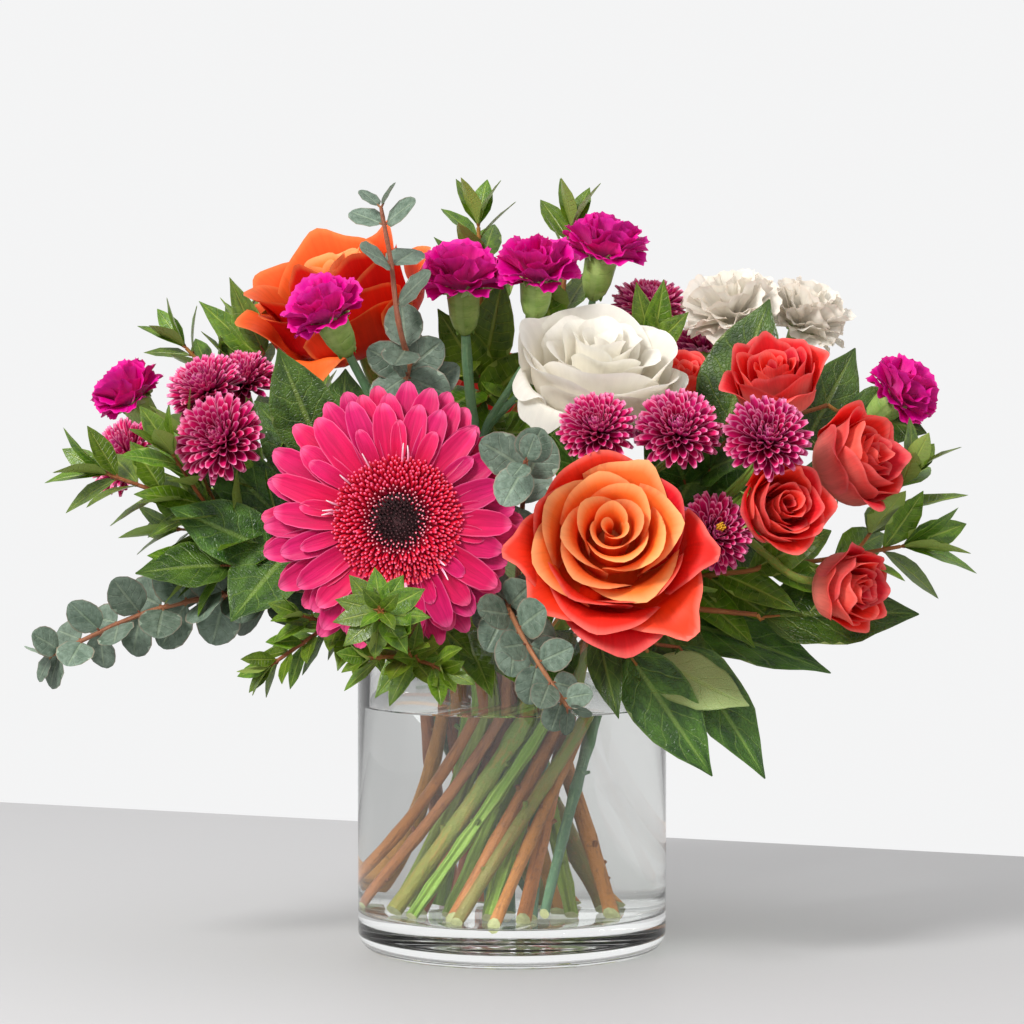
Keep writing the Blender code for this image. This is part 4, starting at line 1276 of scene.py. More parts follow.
def new_group(name, inputs, outputs):
    """Empty shader group with named value inputs and outputs."""
    tree = bpy.data.node_groups.new(name, "ShaderNodeTree")
    for label, default in inputs:
        socket = tree.interface.new_socket(name=label, in_out="INPUT", socket_type="NodeSocketFloat")
        socket.default_value = default
    for label in outputs:
        tree.interface.new_socket(name=label, in_out="OUTPUT", socket_type="NodeSocketFloat")
    web = Web(tree)
    return web, web.node("NodeGroupInput").outputs


def streak_group():
    """Fine lines that run from the base of a petal, and a slow mottle over it."""
    web, given = new_group("petal streaks", (("Fineness", 22.0), ("Seed", 0.0)), ("Streak", "Mottle"))
    u, v = web.uv()
    seed = web.times(given["Seed"], 37.0)
    lines = web.noise_on(u, v, seed, given["Fineness"], 2.2, 3.0, 0.6, 0.3)
    slow = web.noise_on(u, v, seed, 2.4, 2.4, 2.0)
    web.node("NodeGroupOutput", {"Streak": lines, "Mottle": slow})
    return web.tree


def vein_group():
    """Midrib, side veins and the fine net between them, on a leaf's own length and width."""
    web, given = new_group("leaf veins", (("Pairs", 7.0), ("Slant", 1.1), ("Net", 26.0), ("Seed", 0.0)),
                           ("Midrib", "Veins", "Net", "Mottle"))
    u, v = web.uv()
    aside = web.aside(u)
    midrib = web.times(web.step(aside, 0.035, 0.11, 1.0, 0.0), web.step(v, 0.86, 1.0, 1.0, 0.15))
    seed = web.times(given["Seed"], 23.0)
    waver = web.times(web.noise_on(u, v, seed, 3.0, 3.0), 0.9)
    bow = web.times(web.math("POWER", aside, 0.8), given["Slant"])
    slanted = web.math("SUBTRACT", web.times(v, given["Pairs"]), bow)
    row = web.math("PINGPONG", web.math("ADD", slanted, waver), 0.5)
    veins = web.times(web.step(row, 0.0, 0.075, 1.0, 0.0), web.step(aside, 0.7, 0.98, 1.0, 0.1))
    cells = web.node(
        "ShaderNodeTexVoronoi", {"Vector": web.join(web.times(u, 0.62), v, seed), "Scale": given["Net"]},
        feature="DISTANCE_TO_EDGE")
    net = web.step(cells.outputs[0], 0.0, 0.16, 1.0, 0.0)
    mottle = web.noise_on(u, v, seed, 5.0, 5.0, 4.0, 0.6)
    web.node("NodeGroupOutput", {"Midrib": midrib, "Veins": veins, "Net": net, "Mottle": mottle})
    return web.tree


def new_material(name):
    """Empty material with a web of nodes, kept under its name."""
    material = bpy.data.materials.new(name)
    material.use_nodes = True
    material.node_tree.nodes.clear()
    MATERIALS[name] = material
    return Web(material.node_tree)


def close(web, shader):
    """Ends a material with its shader."""
    web.node("ShaderNodeOutputMaterial", {0: shader.outputs[0]})


def vary(web, colour, value, **hue):
    """A colour with its own lightness, and with its own hue where one is given."""
    return web.node("ShaderNodeHueSaturation", {"Color": colour, "Value": value, **hue}).outputs[0]


def skin(web, colour, roughness, height, strength, distance, specular, glow=None):
    """Surface with its relief; where it has a glow, some of the light soaks through."""
    relief = web.node("ShaderNodeBump", {"Height": height, "Strength": strength, "Distance": distance})
    normal = relief.outputs[0]
    shader = web.node("ShaderNodeBsdfPrincipled", {
        "Base Color": colour, "Roughness": roughness, "Normal": normal, "Specular IOR Level": specular})
    if glow is not None:
        through = web.node("ShaderNodeBsdfTranslucent", {"Color": colour, "Normal": normal})
        shader = web.node("ShaderNodeMixShader", {0: glow, 1: shader.outputs[0], 2: through.outputs[0]})
    close(web, shader)


def petal_material(streaks, name, base, mid, tip, rim, under_base, under_tip, rim_and_highlight_share, fineness, streak,
                   roughness=0.5, glow=0.2, bump=0.35, spread=0.1, mid_place=0.5, rim_highlight_from=0.88,
                   side_highlight_from=0.82):
    """Petal: colour that runs from base to tip, a paler rim that is partly painted highlight, fine streaks,
    and light that soaks through.
    """
    web = new_material(name)
    u, v = web.uv()
    tint = web.attribute("tint")
    grain = web.node("ShaderNodeGroup", {"Fineness": fineness, "Seed": tint}, node_tree=streaks).outputs
    upper = web.ramp(v, ((0.0, base), (mid_place, mid), (1.0, tip)))
    lower = web.ramp(v, ((0.0, under_base), (1.0, under_tip)))
    colour = web.mix(web.attribute("under"), upper, lower)
    # Paler rim along the tip and the sides: partly the petal's own colour, partly painted highlight where
    # rolled and cupped edges catch the light
    sides = web.times(web.step(web.aside(u), side_highlight_from, 1.0), web.step(v, 0.25, 0.6))
    edge = web.math("MAXIMUM", web.step(v, rim_highlight_from, 1.0), sides)
    colour = web.mix(web.times(edge, rim_and_highlight_share), colour, rim)
    lines = web.by_noise(grain["Streak"], 1 - streak, 1 + streak)
    mottle = web.by_noise(grain["Mottle"], 1 - streak * 0.6, 1 + streak * 0.6)
    light = web.times(web.times(lines, mottle), web.by_tint(tint, 1, spread))
    colour = vary(web, colour, light, Hue=web.by_tint(tint, 0.5, 0.006))
    gloss = web.by_noise(grain["Mottle"], roughness - 0.06, roughness + 0.08)
    skin(web, colour, gloss, grain["Streak"], bump, 0.0004, 0.22, glow)


def leaf_material(vein_net, name, upper, upper_dark, under, vein, rim, pairs, slant, net, net_depth,
                  vein_share, roughness, speck=0.0, spread=0.15):
    """Leaf: two greens, a pale midrib and side veins, a fine net in relief, and a paler underside."""
    web = new_material(name)
    u = web.uv()[0]
    tint = web.attribute("tint")
    pattern = web.node("ShaderNodeGroup", {"Pairs": pairs, "Slant": slant, "Net": net, "Seed": tint},
                       node_tree=vein_net).outputs
    colour = web.mix(web.span(pattern["Mottle"], 0.35, 0.65), upper_dark, upper)
    colour = web.mix(web.times(pattern["Net"], 0.25), colour, upper_dark)
    colour = web.mix(web.attribute("under"), colour, under)
    lines = web.math("MAXIMUM", pattern["Midrib"], web.times(pattern["Veins"], 0.7))
    colour = web.mix(web.times(lines, vein_share), colour, vein)
    colour = web.mix(web.times(web.step(web.aside(u), 0.9, 1.0), 0.6), colour, rim)
    if speck:
        spots = web.noise(web.place(), 900.0, 2.0, 0.6)
        colour = web.mix(web.times(web.step(spots, 0.60, 0.70), speck), colour, srgb(70, 62, 60))
    colour = vary(web, colour, web.by_tint(tint, 1, spread), Hue=web.by_tint(tint, 0.5, 0.012))
    height = web.math("SUBTRACT", web.times(lines, -1.0), web.times(pattern["Net"], net_depth))
    gloss = web.by_noise(pattern["Mottle"], roughness - 0.05, roughness + 0.1)
    skin(web, colour, gloss, height, 0.55, 0.0006, 0.5, glow=0.15)


def bark_material(name, young, old, spots, ribs=0.0, grain=0.5):
    """Stem skin: an old colour low down and a young one above, with long grain and small marks."""
    web = new_material(name)
    u, v = web.uv()
    tint = web.attribute("tint")
    lines = web.noise_on(u, v, web.times(tint, 31.0), 9.0, 14.0, 4.0, 0.65)
    patches = web.noise(web.place(), 90.0, 3.0, 0.6)
    age = web.math("ADD", web.step(v, 0.1, 0.5, 1.0, 0.0), web.by_noise(patches, -0.35, 0.35), clamp=True)
    colour = web.mix(age, young, old)
    colour = web.mix(web.times(web.step(lines, 0.5, 0.68), grain), colour, spots)
    colour = vary(web, colour, web.by_tint(tint, 1, 0.15), Hue=web.by_tint(tint, 0.5, 0.015))
    pits = web.noise(web.place(), 520.0, 3.0, 0.7)
    colour = web.mix(web.times(web.step(pits, 0.56, 0.68), grain * 0.7), colour, spots)
    height = lines
    if ribs:
        wave = web.math("COSINE", web.times(u, 2 * math.pi * ribs))
        height = web.math("ADD", lines, web.times(wave, 0.8))
    height = web.math("ADD", height, web.times(pits, 0.8))
    skin(web, colour, web.by_noise(lines, 0.37, 0.60), height, 0.9, 0.0008, 0.4)


def flesh_material(name, inner, outer, scale=700.0, outer_from=0.45):
    """Small soft parts, such as florets and cut ends: two colours mixed by a fine grain."""
    web = new_material(name)
    v = web.uv()[1]
    grain = web.noise(web.place(), scale, 3.0, 0.6)
    colour = web.mix(web.step(v, outer_from, 0.95), inner, outer)
    light = web.times(web.by_noise(grain, 0.82, 1.15), web.span(web.attribute("tint"), 0, 1, 0.85, 1.12))
    skin(web, vary(web, colour, light), web.by_noise(grain, 0.45, 0.60), grain, 0.4, 0.0003, 0.4)


def clear_material(name, colour, ior, ripple, shade):
    """Glass or water: plain transmission, with shadow and diffuse rays let through."""
    web = new_material(name)
    waves = web.noise(web.place(), ripple)
    relief = web.node("ShaderNodeBump", {"Height": waves, "Strength": 0.05, "Distance": 0.0006})
    shader = web.node("ShaderNodeBsdfPrincipled", {
        "Base Color": colour, "Roughness": 0.0, "IOR": ior, "Transmission Weight": 1.0,
        "Normal": relief.outputs[0]})
    let_through = web.node("ShaderNodeBsdfTransparent", {0: shade})
    rays = web.node("ShaderNodeLightPath").outputs
    passing = web.math("MAXIMUM", rays["Is Shadow Ray"], rays["Is Diffuse Ray"])
    close(web, web.node("ShaderNodeMixShader", {0: passing, 1: shader.outputs[0], 2: let_through.outputs[0]}))


def floor_material(name, colour):
    """Pale matt floor with a faint grain."""
    web = new_material(name)
    grain = web.noise(web.place(), 160.0, 4.0, 0.6)
    tone = vary(web, colour, web.by_noise(grain, 0.985, 1.015))
    close(web, web.node("ShaderNodeBsdfPrincipled", {
        "Base Color": tone, "Roughness": web.by_noise(grain, 0.55, 0.65), "Specular IOR Level": 0.25}))


# ---------------- finishes
# A colour is given as it shows, from 0 to 255, or by the name of its setting.

# Petals: at the base, in the middle, at the tip and at the rim (partly painted highlight), then underneath at
# the base and at the tip
PETALS = {
    # Gerbera rays: the darker base is partly their own colour and partly painted shade near the disc
    "petal hot pink": (
        ((178, 2, 46), "pink", (220, 30, 106), (250, 120, 172), (170, 12, 68), (212, 48, 108)),
        dict(rim_and_highlight_share=0.5, fineness=10.0, streak=0.16, bump=0.6, side_highlight_from=0.88)),
    # Orange rose heart: the red base is partly the petals' own colour and partly painted shade deep between
    # the petals
    "petal orange": (
        ((255, 72, 10), "orange", (255, 136, 62), (255, 190, 128), (244, 52, 16), (254, 120, 58)),
        dict(rim_and_highlight_share=0.75, fineness=26.0, streak=0.05, mid_place=0.6, glow=0.26)),
    "petal outer orange": (
        ((246, 30, 2), (246, 38, 16), (244, 56, 46), (250, 138, 126), (236, 28, 30), (244, 72, 68)),
        dict(rim_and_highlight_share=0.6, fineness=26.0, streak=0.08, mid_place=0.6, glow=0.28, rim_highlight_from=0.9,
             side_highlight_from=0.88)),
    "petal red back": (
        ((246, 66, 8), (248, 92, 30), (251, 120, 56), (252, 148, 84), (214, 12, 16), (240, 60, 24)),
        dict(rim_and_highlight_share=0.7, fineness=26.0, streak=0.08, mid_place=0.6, glow=0.3, rim_highlight_from=0.92,
             side_highlight_from=0.9)),
    "petal ivory": (
        ((252, 248, 236), "ivory", (252, 251, 247), (253, 252, 248), (251, 246, 232), (252, 249, 242)),
        dict(rim_and_highlight_share=0.3, fineness=18.0, streak=0.03, glow=0.6, spread=0.02)),
    "petal coral": (
        ((236, 16, 24), "coral", (246, 64, 64), (252, 146, 140), (248, 176, 156), (246, 96, 90)),
        dict(rim_and_highlight_share=0.65, fineness=20.0, streak=0.09, glow=0.42, mid_place=0.6)),
    # Button mums: the near-black base is painted shade in the gaps between the petals, and the pale pink rim
    # is painted highlight on the cupped petals' edges
    "petal burgundy": (
        ((56, 0, 22), "burgundy", (224, 36, 118), (252, 160, 202), (140, 4, 70), (206, 50, 136)),
        dict(rim_and_highlight_share=0.95, fineness=5.0, streak=0.14, roughness=0.34, glow=0.14, side_highlight_from=0.74,
             mid_place=0.62)),
    "petal magenta": (
        ((232, 96, 184), "magenta", (226, 2, 150), (246, 76, 194), (240, 110, 190), (228, 12, 158)),
        dict(rim_and_highlight_share=0.4, fineness=16.0, streak=0.12, mid_place=0.35, glow=0.24)),
    "petal cream": (
        ((250, 246, 234), (252, 249, 243), (252, 250, 245), (250, 238, 226), (251, 247, 236),
         (252, 249, 243)),
        dict(rim_and_highlight_share=0.35, fineness=16.0, streak=0.03, glow=0.5, spread=0.02)),
}
# Leaves: the upper face, its darker patches, the underside, the veins and the rim
LEAVES = {
    "leaf eucalyptus": (
        ("grey_green", (84, 103, 87), (150, 170, 150), (172, 188, 156), (156, 128, 112)),
        dict(pairs=5.0, slant=1.4, net=16.0, net_depth=0.1, vein_share=0.25, roughness=0.5,
             speck=0.4, spread=0.28)),
    "leaf myrtle": (
        ("bright_green", (64, 96, 14), (150, 174, 84), (190, 204, 96), (140, 160, 56)),
        dict(pairs=11.0, slant=1.0, net=24.0, net_depth=0.12, vein_share=0.35, roughness=0.3,
             spread=0.22)),
    "leaf salal": (
        ("dark_green", (38, 70, 18), (158, 178, 112), (150, 178, 84), (96, 124, 50)),
        dict(pairs=6.0, slant=1.6, net=30.0, net_depth=0.5, vein_share=0.4, roughness=0.36)),
    "sepal green": (
        ((176, 204, 112), (138, 176, 82), (184, 210, 136), (196, 216, 150), (160, 180, 100)),
        dict(pairs=4.0, slant=1.0, net=20.0, net_depth=0.1, vein_share=0.2, roughness=0.45)),
}
# Stems: young, old and the marks on them
BARKS = {
    "bark pale": (((150, 174, 74), (156, 180, 78), (184, 204, 112)), dict(ribs=7.0)),
    "bark rose": (((120, 140, 54), (138, 132, 60), (176, 116, 64)), {}),
    "bark green": (((130, 164, 58), (138, 170, 60), (178, 196, 98)), dict(ribs=5.0)),
    "bark blue": (((104, 144, 104), (84, 122, 92), (146, 174, 128)), {}),
    "bark twig": (((150, 92, 46), (196, 126, 62), (118, 70, 40)), dict(grain=0.6)),
    "bark eucalyptus": (((150, 98, 66), (176, 112, 66), (116, 66, 48)), dict(grain=0.6)),
}
# Small soft parts: the lower and the upper colour
FLESH = {
    "cut end": (((196, 200, 144), (210, 212, 162)), dict(scale=500.0)),
    "floret red": (((204, 2, 44), (240, 92, 132)), dict(outer_from=0.86)),
    "floret eye": (((26, 4, 8), (54, 10, 18)), dict(outer_from=0.8)),
    "floret fleck": (((150, 4, 40), (248, 160, 176)), dict(outer_from=0.86)),
    "filament": (((240, 150, 180), (250, 226, 232)), {}),
    "pollen": (((226, 160, 30), (240, 196, 60)), {}),
}
GLASS_SHADE = (0.975, 0.985, 0.98, 1)
WATER_TINT = (0.985, 0.99, 0.985, 1)
MATERIALS = {}


def prepare_materials(settings):
    """Builds every material once, from the shared groups."""
    if MATERIALS:
        return

    def shown(colour):
        return tuple(getattr(settings, colour)) if isinstance(colour, str) else srgb(*colour)

    makers = (
        (partial(petal_material, streak_group()), PETALS),
        (partial(leaf_material, vein_group()), LEAVES),
        (bark_material, BARKS),
        (flesh_material, FLESH),
    )
    for make, finishes in makers:
        for name, (colours, options) in finishes.items():
            make(name, *map(shown, colours), **options)
    clear_material("clear glass", tuple(settings.glass), 1.45, 25.0, GLASS_SHADE)
    clear_material("water", WATER_TINT, 1.33, 14.0, WATER_TINT)
    floor_material("pale floor", tuple(settings.floor))


# ---------------- vase and water
# Metres, as the frame is.

RIM_ROUND = 0.0014
FLOOR_EDGE_ROUND = 0.004
HOLLOW_RIM_WIDTH = 0.012
HOLLOW_SLOPE = 0.006
HOLLOW_DEPTH = 0.0008
# The water is this much larger than the room in the glass, so that the two meet without a film of air
WETTING = 0.00015
# Rings of the water's surface from the glass inwards: width, and how far the water sinks over it
MENISCUS = ((0.0009, 0.0), (0.0012, 0.0009), (0.0022, 0.0005))
ROUND_SIDES = 128


def pick(piece, kind, test):
    """Selects the edges or faces whose every corner passes the test, in edit mode."""
    shape = bmesh.from_edit_mesh(piece.data)
    for group in (shape.faces, shape.edges, shape.verts):
        for element in group:
            element.select_set(False)
    chosen = 0
    for element in (shape.faces if kind == "FACE" else shape.edges):
        if all(test(corner.co) for corner in element.verts):
            element.select_set(True)
            chosen += 1
    shape.select_flush_mode()
    bmesh.update_edit_mesh(piece.data)
    if not chosen:
        raise RuntimeError(f"{piece.name}: nothing to shape")


def pick_level(piece, height):
    """Selects the flat faces at a height."""
    pick(piece, "FACE", lambda corner: abs(corner.z - height) < 1e-5)


def turned_cylinder(name, radius, low, high):
    """Closed cylinder on the axis, left in edit mode."""
    bpy.ops.object.select_all(action="DESELECT")
    bpy.ops.mesh.primitive_cylinder_add(vertices=ROUND_SIDES, radius=radius, depth=high - low,
                                        end_fill_type="NGON", location=(0, 0, (high + low) / 2))
    piece = bpy.context.object
    piece.name = name
    bpy.ops.object.transform_apply(location=True, rotation=True, scale=True)
    bpy.ops.object.mode_set(mode="EDIT")
    bpy.ops.mesh.select_mode(type="FACE")
    return piece


def round_edge(piece, radius, height, offset, segments):
    """Rounds the ring of edges that lies at a radius and a height."""
    def on_ring(corner):
        return abs(math.hypot(corner.x, corner.y) - radius) < 2e-5 and abs(corner.z - height) < 2e-5
    bpy.ops.mesh.select_mode(type="EDGE")
    pick(piece, "EDGE", on_ring)
    bpy.ops.mesh.bevel(offset=offset, segments=segments, profile=0.5, affect="EDGES")


def leave_edit(piece, material):
    """Turns all faces outwards, leaves edit mode and gives the piece its material."""
    bpy.ops.mesh.select_mode(type="FACE")
    bpy.ops.mesh.select_all(action="SELECT")
    bpy.ops.mesh.normals_make_consistent(inside=False)
    bpy.ops.object.mode_set(mode="OBJECT")
    piece.data.materials.clear()
    piece.data.materials.append(MATERIALS[material])
    bpy.ops.object.select_all(action="DESELECT")
    piece.select_set(True)
    bpy.context.view_layer.objects.active = piece
    bpy.ops.object.shade_smooth_by_angle(angle=math.radians(40))
    bpy.ops.object.select_all(action="DESELECT")


def blow_vase(settings):
    """Glass cylinder: a thick base with a round foot, a straight wall and a fire-polished rim."""
    low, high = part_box("vase")
    radius = (high.x - low.x) / 2
    inner = radius - settings.wall
    floor = low.z + settings.base
    vase = turned_cylinder("glass_vase", radius, low.z, high.z)
    pick_level(vase, high.z)
    bpy.ops.mesh.inset(thickness=settings.wall, depth=0)
    bpy.ops.mesh.extrude_region_move(TRANSFORM_OT_translate={"value": (0, 0, floor - high.z)})
    pick_level(vase, low.z)
    bpy.ops.mesh.inset(thickness=HOLLOW_RIM_WIDTH, depth=0)
    bpy.ops.mesh.inset(thickness=HOLLOW_SLOPE, depth=-HOLLOW_DEPTH)
    round_edge(vase, radius, low.z, settings.foot_round, 9)
    round_edge(vase, inner, floor, FLOOR_EDGE_ROUND, 6)
    round_edge(vase, radius, high.z, RIM_ROUND, 4)
    round_edge(vase, inner, high.z, RIM_ROUND, 4)
    leave_edit(vase, "clear glass")
    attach(vase, "root")
    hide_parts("vase")
    return inner, floor


def fill_water(settings, inner, floor):
    """Water that wets the glass and creeps up it a little at the top."""
    radius = inner + WETTING
    bottom = floor - WETTING
    water = turned_cylinder("water", radius, bottom, settings.water_level)
    pick_level(water, settings.water_level)
    for width, sink in MENISCUS:
        bpy.ops.mesh.inset(thickness=width, depth=-sink)
    round_edge(water, radius, bottom, FLOOR_EDGE_ROUND + WETTING, 6)
    leave_edit(water, "water")
    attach(water, "root")


# ---------------- the add-on

FLOOR_WIDTH = 2.6
FLOOR_DEPTH = 1.5
FLOOR_TURN = math.radians(-24)
# How far the floor reaches behind the vase
FLOOR_BEHIND = 0.375
ROOM_LIGHT = (1.0, 0.99, 0.975, 1)
BACKDROP_COLOUR = (0.995, 0.997, 1.0, 1)
LAMP_PLACE = (-0.85, -1.15, 1.2)
LAMP_AIM = (0, 0, 0.15)
LAMP_SIZE = 0.42
LAMP_COLOUR = (1.0, 0.985, 0.96)
CAMERA_PLACE = (0, -1.41, 0.218)
CAMERA_AIM = (0, 0, 0.180)
CAMERA_LENS = 120.6
SENSOR_WIDTH = 36


def length_setting(name, description, metres):
    """A length in metres."""
    return FloatProperty(name=name, description=description, default=metres, unit="LENGTH")


def count_setting(name, description, count, least, most):
    """A number of petals."""
    return IntProperty(name=name, description=description, default=count, min=least, max=most)


def light_setting(name, description, value, **options):
    """A strength of light."""
    return FloatProperty(name=name, description=description, default=value, **options)


def colour_setting(name, description, colour):
    """A colour, as linear values."""
    return FloatVectorProperty(name=name, description=description, subtype="COLOR", size=4, min=0, max=1,
                               default=colour)


class BouquetSettings(bpy.types.PropertyGroup):
    """Sizes and colours of the bouquet."""
    wall: length_setting("Glass wall", "Thickness of the vase wall", 0.0035)
    base: length_setting("Glass base", "Thickness of the vase floor", 0.016)
    foot_round: length_setting("Foot rounding", "Rounding of the foot", 0.0085)
    water_level: length_setting("Water level", "Height of the water at the glass", 0.1012)
    mum_petals: count_setting("Mum petals", "Petals of each button mum", 150, 40, 300)
    carnation_petals: count_setting("Carnation petals", "Petals of each small carnation", 26, 6, 60)
    pink: colour_setting("Gerbera pink", "Colour of the gerbera's rays", srgb(206, 6, 80))
    orange: colour_setting("Rose orange", "Colour of the orange roses", srgb(255, 112, 34))
    ivory: colour_setting("Rose ivory", "Colour of the white rose", srgb(252, 250, 244))
    coral: colour_setting("Rose coral", "Colour of the spray roses", srgb(242, 34, 40))
    burgundy: colour_setting("Mum burgundy", "Colour of the button mums", srgb(180, 8, 80))
    magenta: colour_setting("Carnation magenta", "Colour of the small carnations", srgb(230, 2, 158))
    grey_green: colour_setting("Eucalyptus green", "Colour of the round leaves", srgb(121, 139, 123))
    bright_green: colour_setting("Myrtle green", "Colour of the lance leaves", srgb(108, 142, 24))
    dark_green: colour_setting("Salal green", "Colour of the broad leaves", srgb(80, 118, 34))
    glass: colour_setting("Glass tint", "Tint of the vase", (0.985, 0.995, 0.99, 1.0))
    floor: colour_setting("Floor", "Colour of the floor", srgb(184, 184, 186))
    key_power: light_setting("Key lamp", "Power of the main lamp in watts", 29.0, unit="POWER")
    fill: light_setting("Room light", "Strength of the light from all round", 0.94)
    backdrop: light_setting("Backdrop", "Brightness of the backdrop that is seen", 0.91)


class MakesPieces:
    """What the operators share."""
    bl_options = {"REGISTER", "UNDO"}

    def execute(self, context):
        prepare_materials(context.scene.bouquet)
        self.build(context.scene.bouquet)
        return {"FINISHED"}


def bloom(name, shape, materials, slot, fullness=1.0, **options):
    """Builds one bloom on the seat its solid has."""
    seat = SEATS[name]
    piece = Piece(name + "_bloom")
    piece.stand(np.array(seat.seat), np.array(seat.axis))
    shape(piece, seat.radius * fullness, seat.height, **options)
    piece.make([MATERIALS[key] for key in materials], name, slot)


def lay_floor():
    """Lays the pale floor on the ground, turned a little and reaching towards the camera."""
    bpy.ops.object.select_all(action="DESELECT")
    bpy.ops.mesh.primitive_plane_add(size=1, location=(0, 0, 0))
    floor = bpy.context.object
    floor.name = "floor"
    floor.scale = (FLOOR_WIDTH, FLOOR_DEPTH, 1)
    floor.rotation_euler = (0, 0, FLOOR_TURN)
    back = Vector((-math.sin(FLOOR_TURN), math.cos(FLOOR_TURN), 0))
    floor.location = back * (FLOOR_BEHIND - FLOOR_DEPTH / 2)
    bpy.ops.object.transform_apply(location=True, rotation=True, scale=True)
    floor.data.materials.append(MATERIALS["pale floor"])


def light_room(scene, settings):
    """Plain light from all round, and a pale backdrop for the camera, for gloss and through the glass."""
    scene.world = bpy.data.worlds.new("room")
    scene.world.use_nodes = True
    scene.world.node_tree.nodes.clear()
    web = Web(scene.world.node_tree)
    rays = web.node("ShaderNodeLightPath").outputs
    bent = web.math("MAXIMUM", rays["Is Glossy Ray"], rays["Is Transmission Ray"])
    seen = web.math("MAXIMUM", rays["Is Camera Ray"], bent)
    light = web.node("ShaderNodeBackground", {0: ROOM_LIGHT, 1: settings.fill})
    sight = web.node("ShaderNodeBackground", {0: BACKDROP_COLOUR, 1: settings.backdrop})
    both = web.node("ShaderNodeMixShader", {0: seen, 1: light.outputs[0], 2: sight.outputs[0]})
    web.node("ShaderNodeOutputWorld", {0: both.outputs[0]})


def place_aimed(scene, name, data, place, aim):
    """Puts a lamp or a camera in its place and turns it to its aim."""
    thing = bpy.data.objects.new(name, data)
    thing.location = place
    thing.rotation_euler = (Vector(aim) - thing.location).to_track_quat("-Z", "Y").to_euler()
    scene.collection.objects.link(thing)
    return thing


class BOUQUET_OT_stage(MakesPieces, bpy.types.Operator):
    """Sets the pale floor, the lamp, the room light and the camera"""
    bl_idname = "bouquet.stage"
    bl_label = "Stage"

    def build(self, settings):
        scene = bpy.context.scene
        scene.view_settings.view_transform = "Standard"
        lay_floor()
        light_room(scene, settings)
        key = bpy.data.lights.new("key lamp", "AREA")
        key.energy = settings.key_power
        key.size = LAMP_SIZE
        key.color = LAMP_COLOUR
        place_aimed(scene, "key lamp", key, LAMP_PLACE, LAMP_AIM)
        view = bpy.data.cameras.new("camera")
        view.lens = CAMERA_LENS
        view.sensor_width = SENSOR_WIDTH
        scene.camera = place_aimed(scene, "camera", view, CAMERA_PLACE, CAMERA_AIM)


class BOUQUET_OT_vase(MakesPieces, bpy.types.Operator):
    """Blows the glass vase and fills it with water"""
    bl_idname = "bouquet.vase"
    bl_label = "Vase and water"

    def build(self, settings):
        inner, floor = blow_vase(settings)
        fill_water(settings, inner, floor)


class BOUQUET_OT_stems(MakesPieces, bpy.types.Operator):
    """Grows the flower stems, from their cut feet in the water to their blooms"""
    bl_idname = "bouquet.stems"
    bl_label = "Flower stems"

    def build(self, settings):
        for name, radius, bark, _ in FLOWERS:
            piece = Piece(name)
            grow_stem(piece, ROUTES[name], radius, bark)
            piece.name = name + "_dressed"
            piece.make([MATERIALS["bark " + bark], MATERIALS["cut end"]], name,
                       "stem_blue_green" if bark == "blue" else "stem_green")


class BOUQUET_OT_gerbera(MakesPieces, bpy.types.Operator):
    """Opens the gerbera"""
    bl_idname = "bouquet.gerbera"
    bl_label = "Gerbera"

    def build(self, settings):
        materials = ("petal hot pink", "sepal green", "floret red", "floret eye", "floret fleck", "filament")
        bloom("gerbera", gerbera, materials, "petal_hot_pink")


class BOUQUET_OT_roses(MakesPieces, bpy.types.Operator):
    """Opens the four wide roses"""
    bl_idname = "bouquet.roses"
    bl_label = "Roses"

    def build(self, settings):
        orange = ("petal orange", "sepal green", "petal outer orange")
        bloom("rose_front", rose_front, orange, "petal_orange")
        bloom("rose_back", rose_back, orange[:2] + ("petal red back",), "petal_orange")
        bloom("rose_rear", rose_rear, orange, "petal_orange")
        bloom("rose_white", rose_white, ("petal ivory", "sepal green", "petal ivory"), "petal_ivory")


class BOUQUET_OT_spray_roses(MakesPieces, bpy.types.Operator):
    """Opens the coral spray roses"""
    bl_idname = "bouquet.spray_roses"
    bl_label = "Spray roses"

    def build(self, settings):
        materials = ("petal coral", "sepal green", "petal coral")
        for letter in "abcde":
            bloom("spray_rose_" + letter, spray_rose, materials, "petal_coral")


class BOUQUET_OT_mums(MakesPieces, bpy.types.Operator):
    """Opens the burgundy button mums"""
    bl_idname = "bouquet.mums"
    bl_label = "Button mums"

    def build(self, settings):
        for name in SEATS:
            if name.startswith("mum"):
                bloom(name, mum, ("petal burgundy", "sepal green", "pollen"), "petal_burgundy",
                      fullness=0.98 if name == "mum_centre_a" else 1.06, count=settings.mum_petals)


class BOUQUET_OT_carnations(MakesPieces, bpy.types.Operator):
    """Opens the small magenta carnations and the two white ones"""
    bl_idname = "bouquet.carnations"
    bl_label = "Carnations"

    def build(self, settings):
        for name in SEATS:
            if name.startswith("carnation"):
                bloom(name, carnation, ("petal magenta", "sepal green"), "petal_magenta",
                      fullness=0.64 if name == "carnation_far_left" else 0.78, tube_share=0.54,
                      petals=settings.carnation_petals, green=6.6, lobes=7, flare=74)
            elif name.startswith("white_carnation"):
                bloom(name, carnation, ("petal cream", "sepal green"), "petal_ivory",
                      fullness=0.86, tube_share=0.46, petals=32, green=4.6, lobes=8, flare=84)


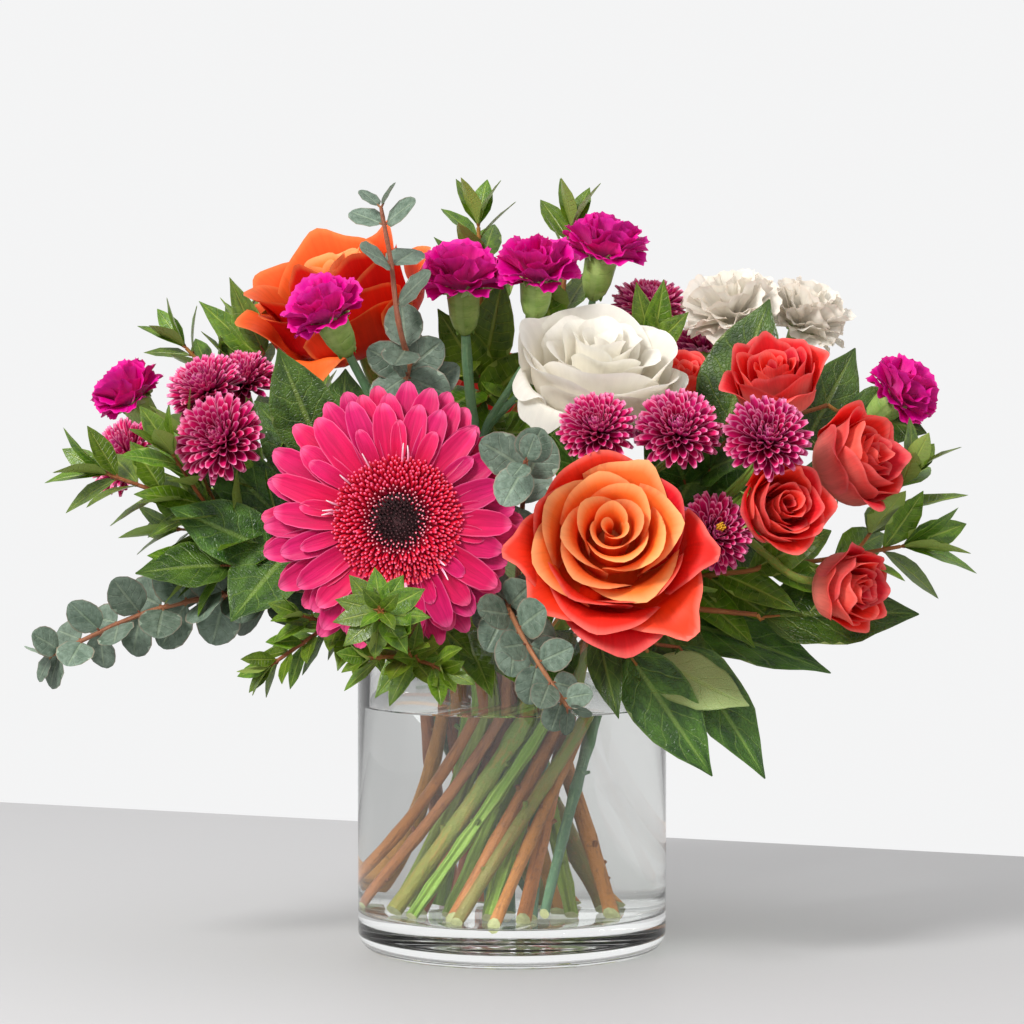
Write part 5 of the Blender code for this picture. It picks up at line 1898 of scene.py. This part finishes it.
# Materials and colour slot of each kind of foliage
FOLIAGE_LOOKS = {
    "round": ("bark eucalyptus", "leaf eucalyptus", "leaf_grey_green"),
    "lance": ("bark twig", "leaf myrtle", "leaf_bright_green"),
    "broad": ("bark twig", "leaf salal", "leaf_dark_green"),
}


class BOUQUET_OT_foliage(MakesPieces, bpy.types.Operator):
    """Grows the eucalyptus, myrtle and salal sprigs"""
    bl_idname = "bouquet.foliage"
    bl_label = "Foliage"

    def build(self, settings):
        for name, radius, kind, _ in FOLIAGE:
            piece = Piece(name)
            grow_sprig(piece, ROUTES[name], radius, kind)
            bark, leaf, slot = FOLIAGE_LOOKS[kind]
            piece.name = name + "_sprig"
            piece.make([MATERIALS[bark], MATERIALS[leaf], MATERIALS["cut end"]], name, slot)


class BOUQUET_PT_panel(bpy.types.Panel):
    """Lists the pieces of the bouquet"""
    bl_idname = "BOUQUET_PT_panel"
    bl_label = "Bouquet"
    bl_space_type = "VIEW_3D"
    bl_region_type = "UI"
    bl_category = "Bouquet"

    def draw(self, context):
        settings = context.scene.bouquet
        for name in BouquetSettings.__annotations__:
            self.layout.prop(settings, name)
        for operator in OPERATORS:
            self.layout.operator(operator.bl_idname)


OPERATORS = (BOUQUET_OT_stage, BOUQUET_OT_vase, BOUQUET_OT_stems, BOUQUET_OT_foliage, BOUQUET_OT_gerbera,
             BOUQUET_OT_roses, BOUQUET_OT_spray_roses, BOUQUET_OT_mums, BOUQUET_OT_carnations)
CLASSES = (BouquetSettings, BOUQUET_PT_panel) + OPERATORS


def register():
    """Makes the settings, the panel and the operators known."""
    for cls in CLASSES:
        bpy.utils.register_class(cls)
    bpy.types.Scene.bouquet = PointerProperty(type=BouquetSettings)


def unregister():
    """Takes them away again."""
    del bpy.types.Scene.bouquet
    for cls in reversed(CLASSES):
        bpy.utils.unregister_class(cls)


def main():
    """Builds the stage and every piece in turn."""
    register()
    for operator in OPERATORS:
        group, name = operator.bl_idname.split(".")
        getattr(getattr(bpy.ops, group), name)()
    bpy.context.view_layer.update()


if __name__ == "__main__":
    main()
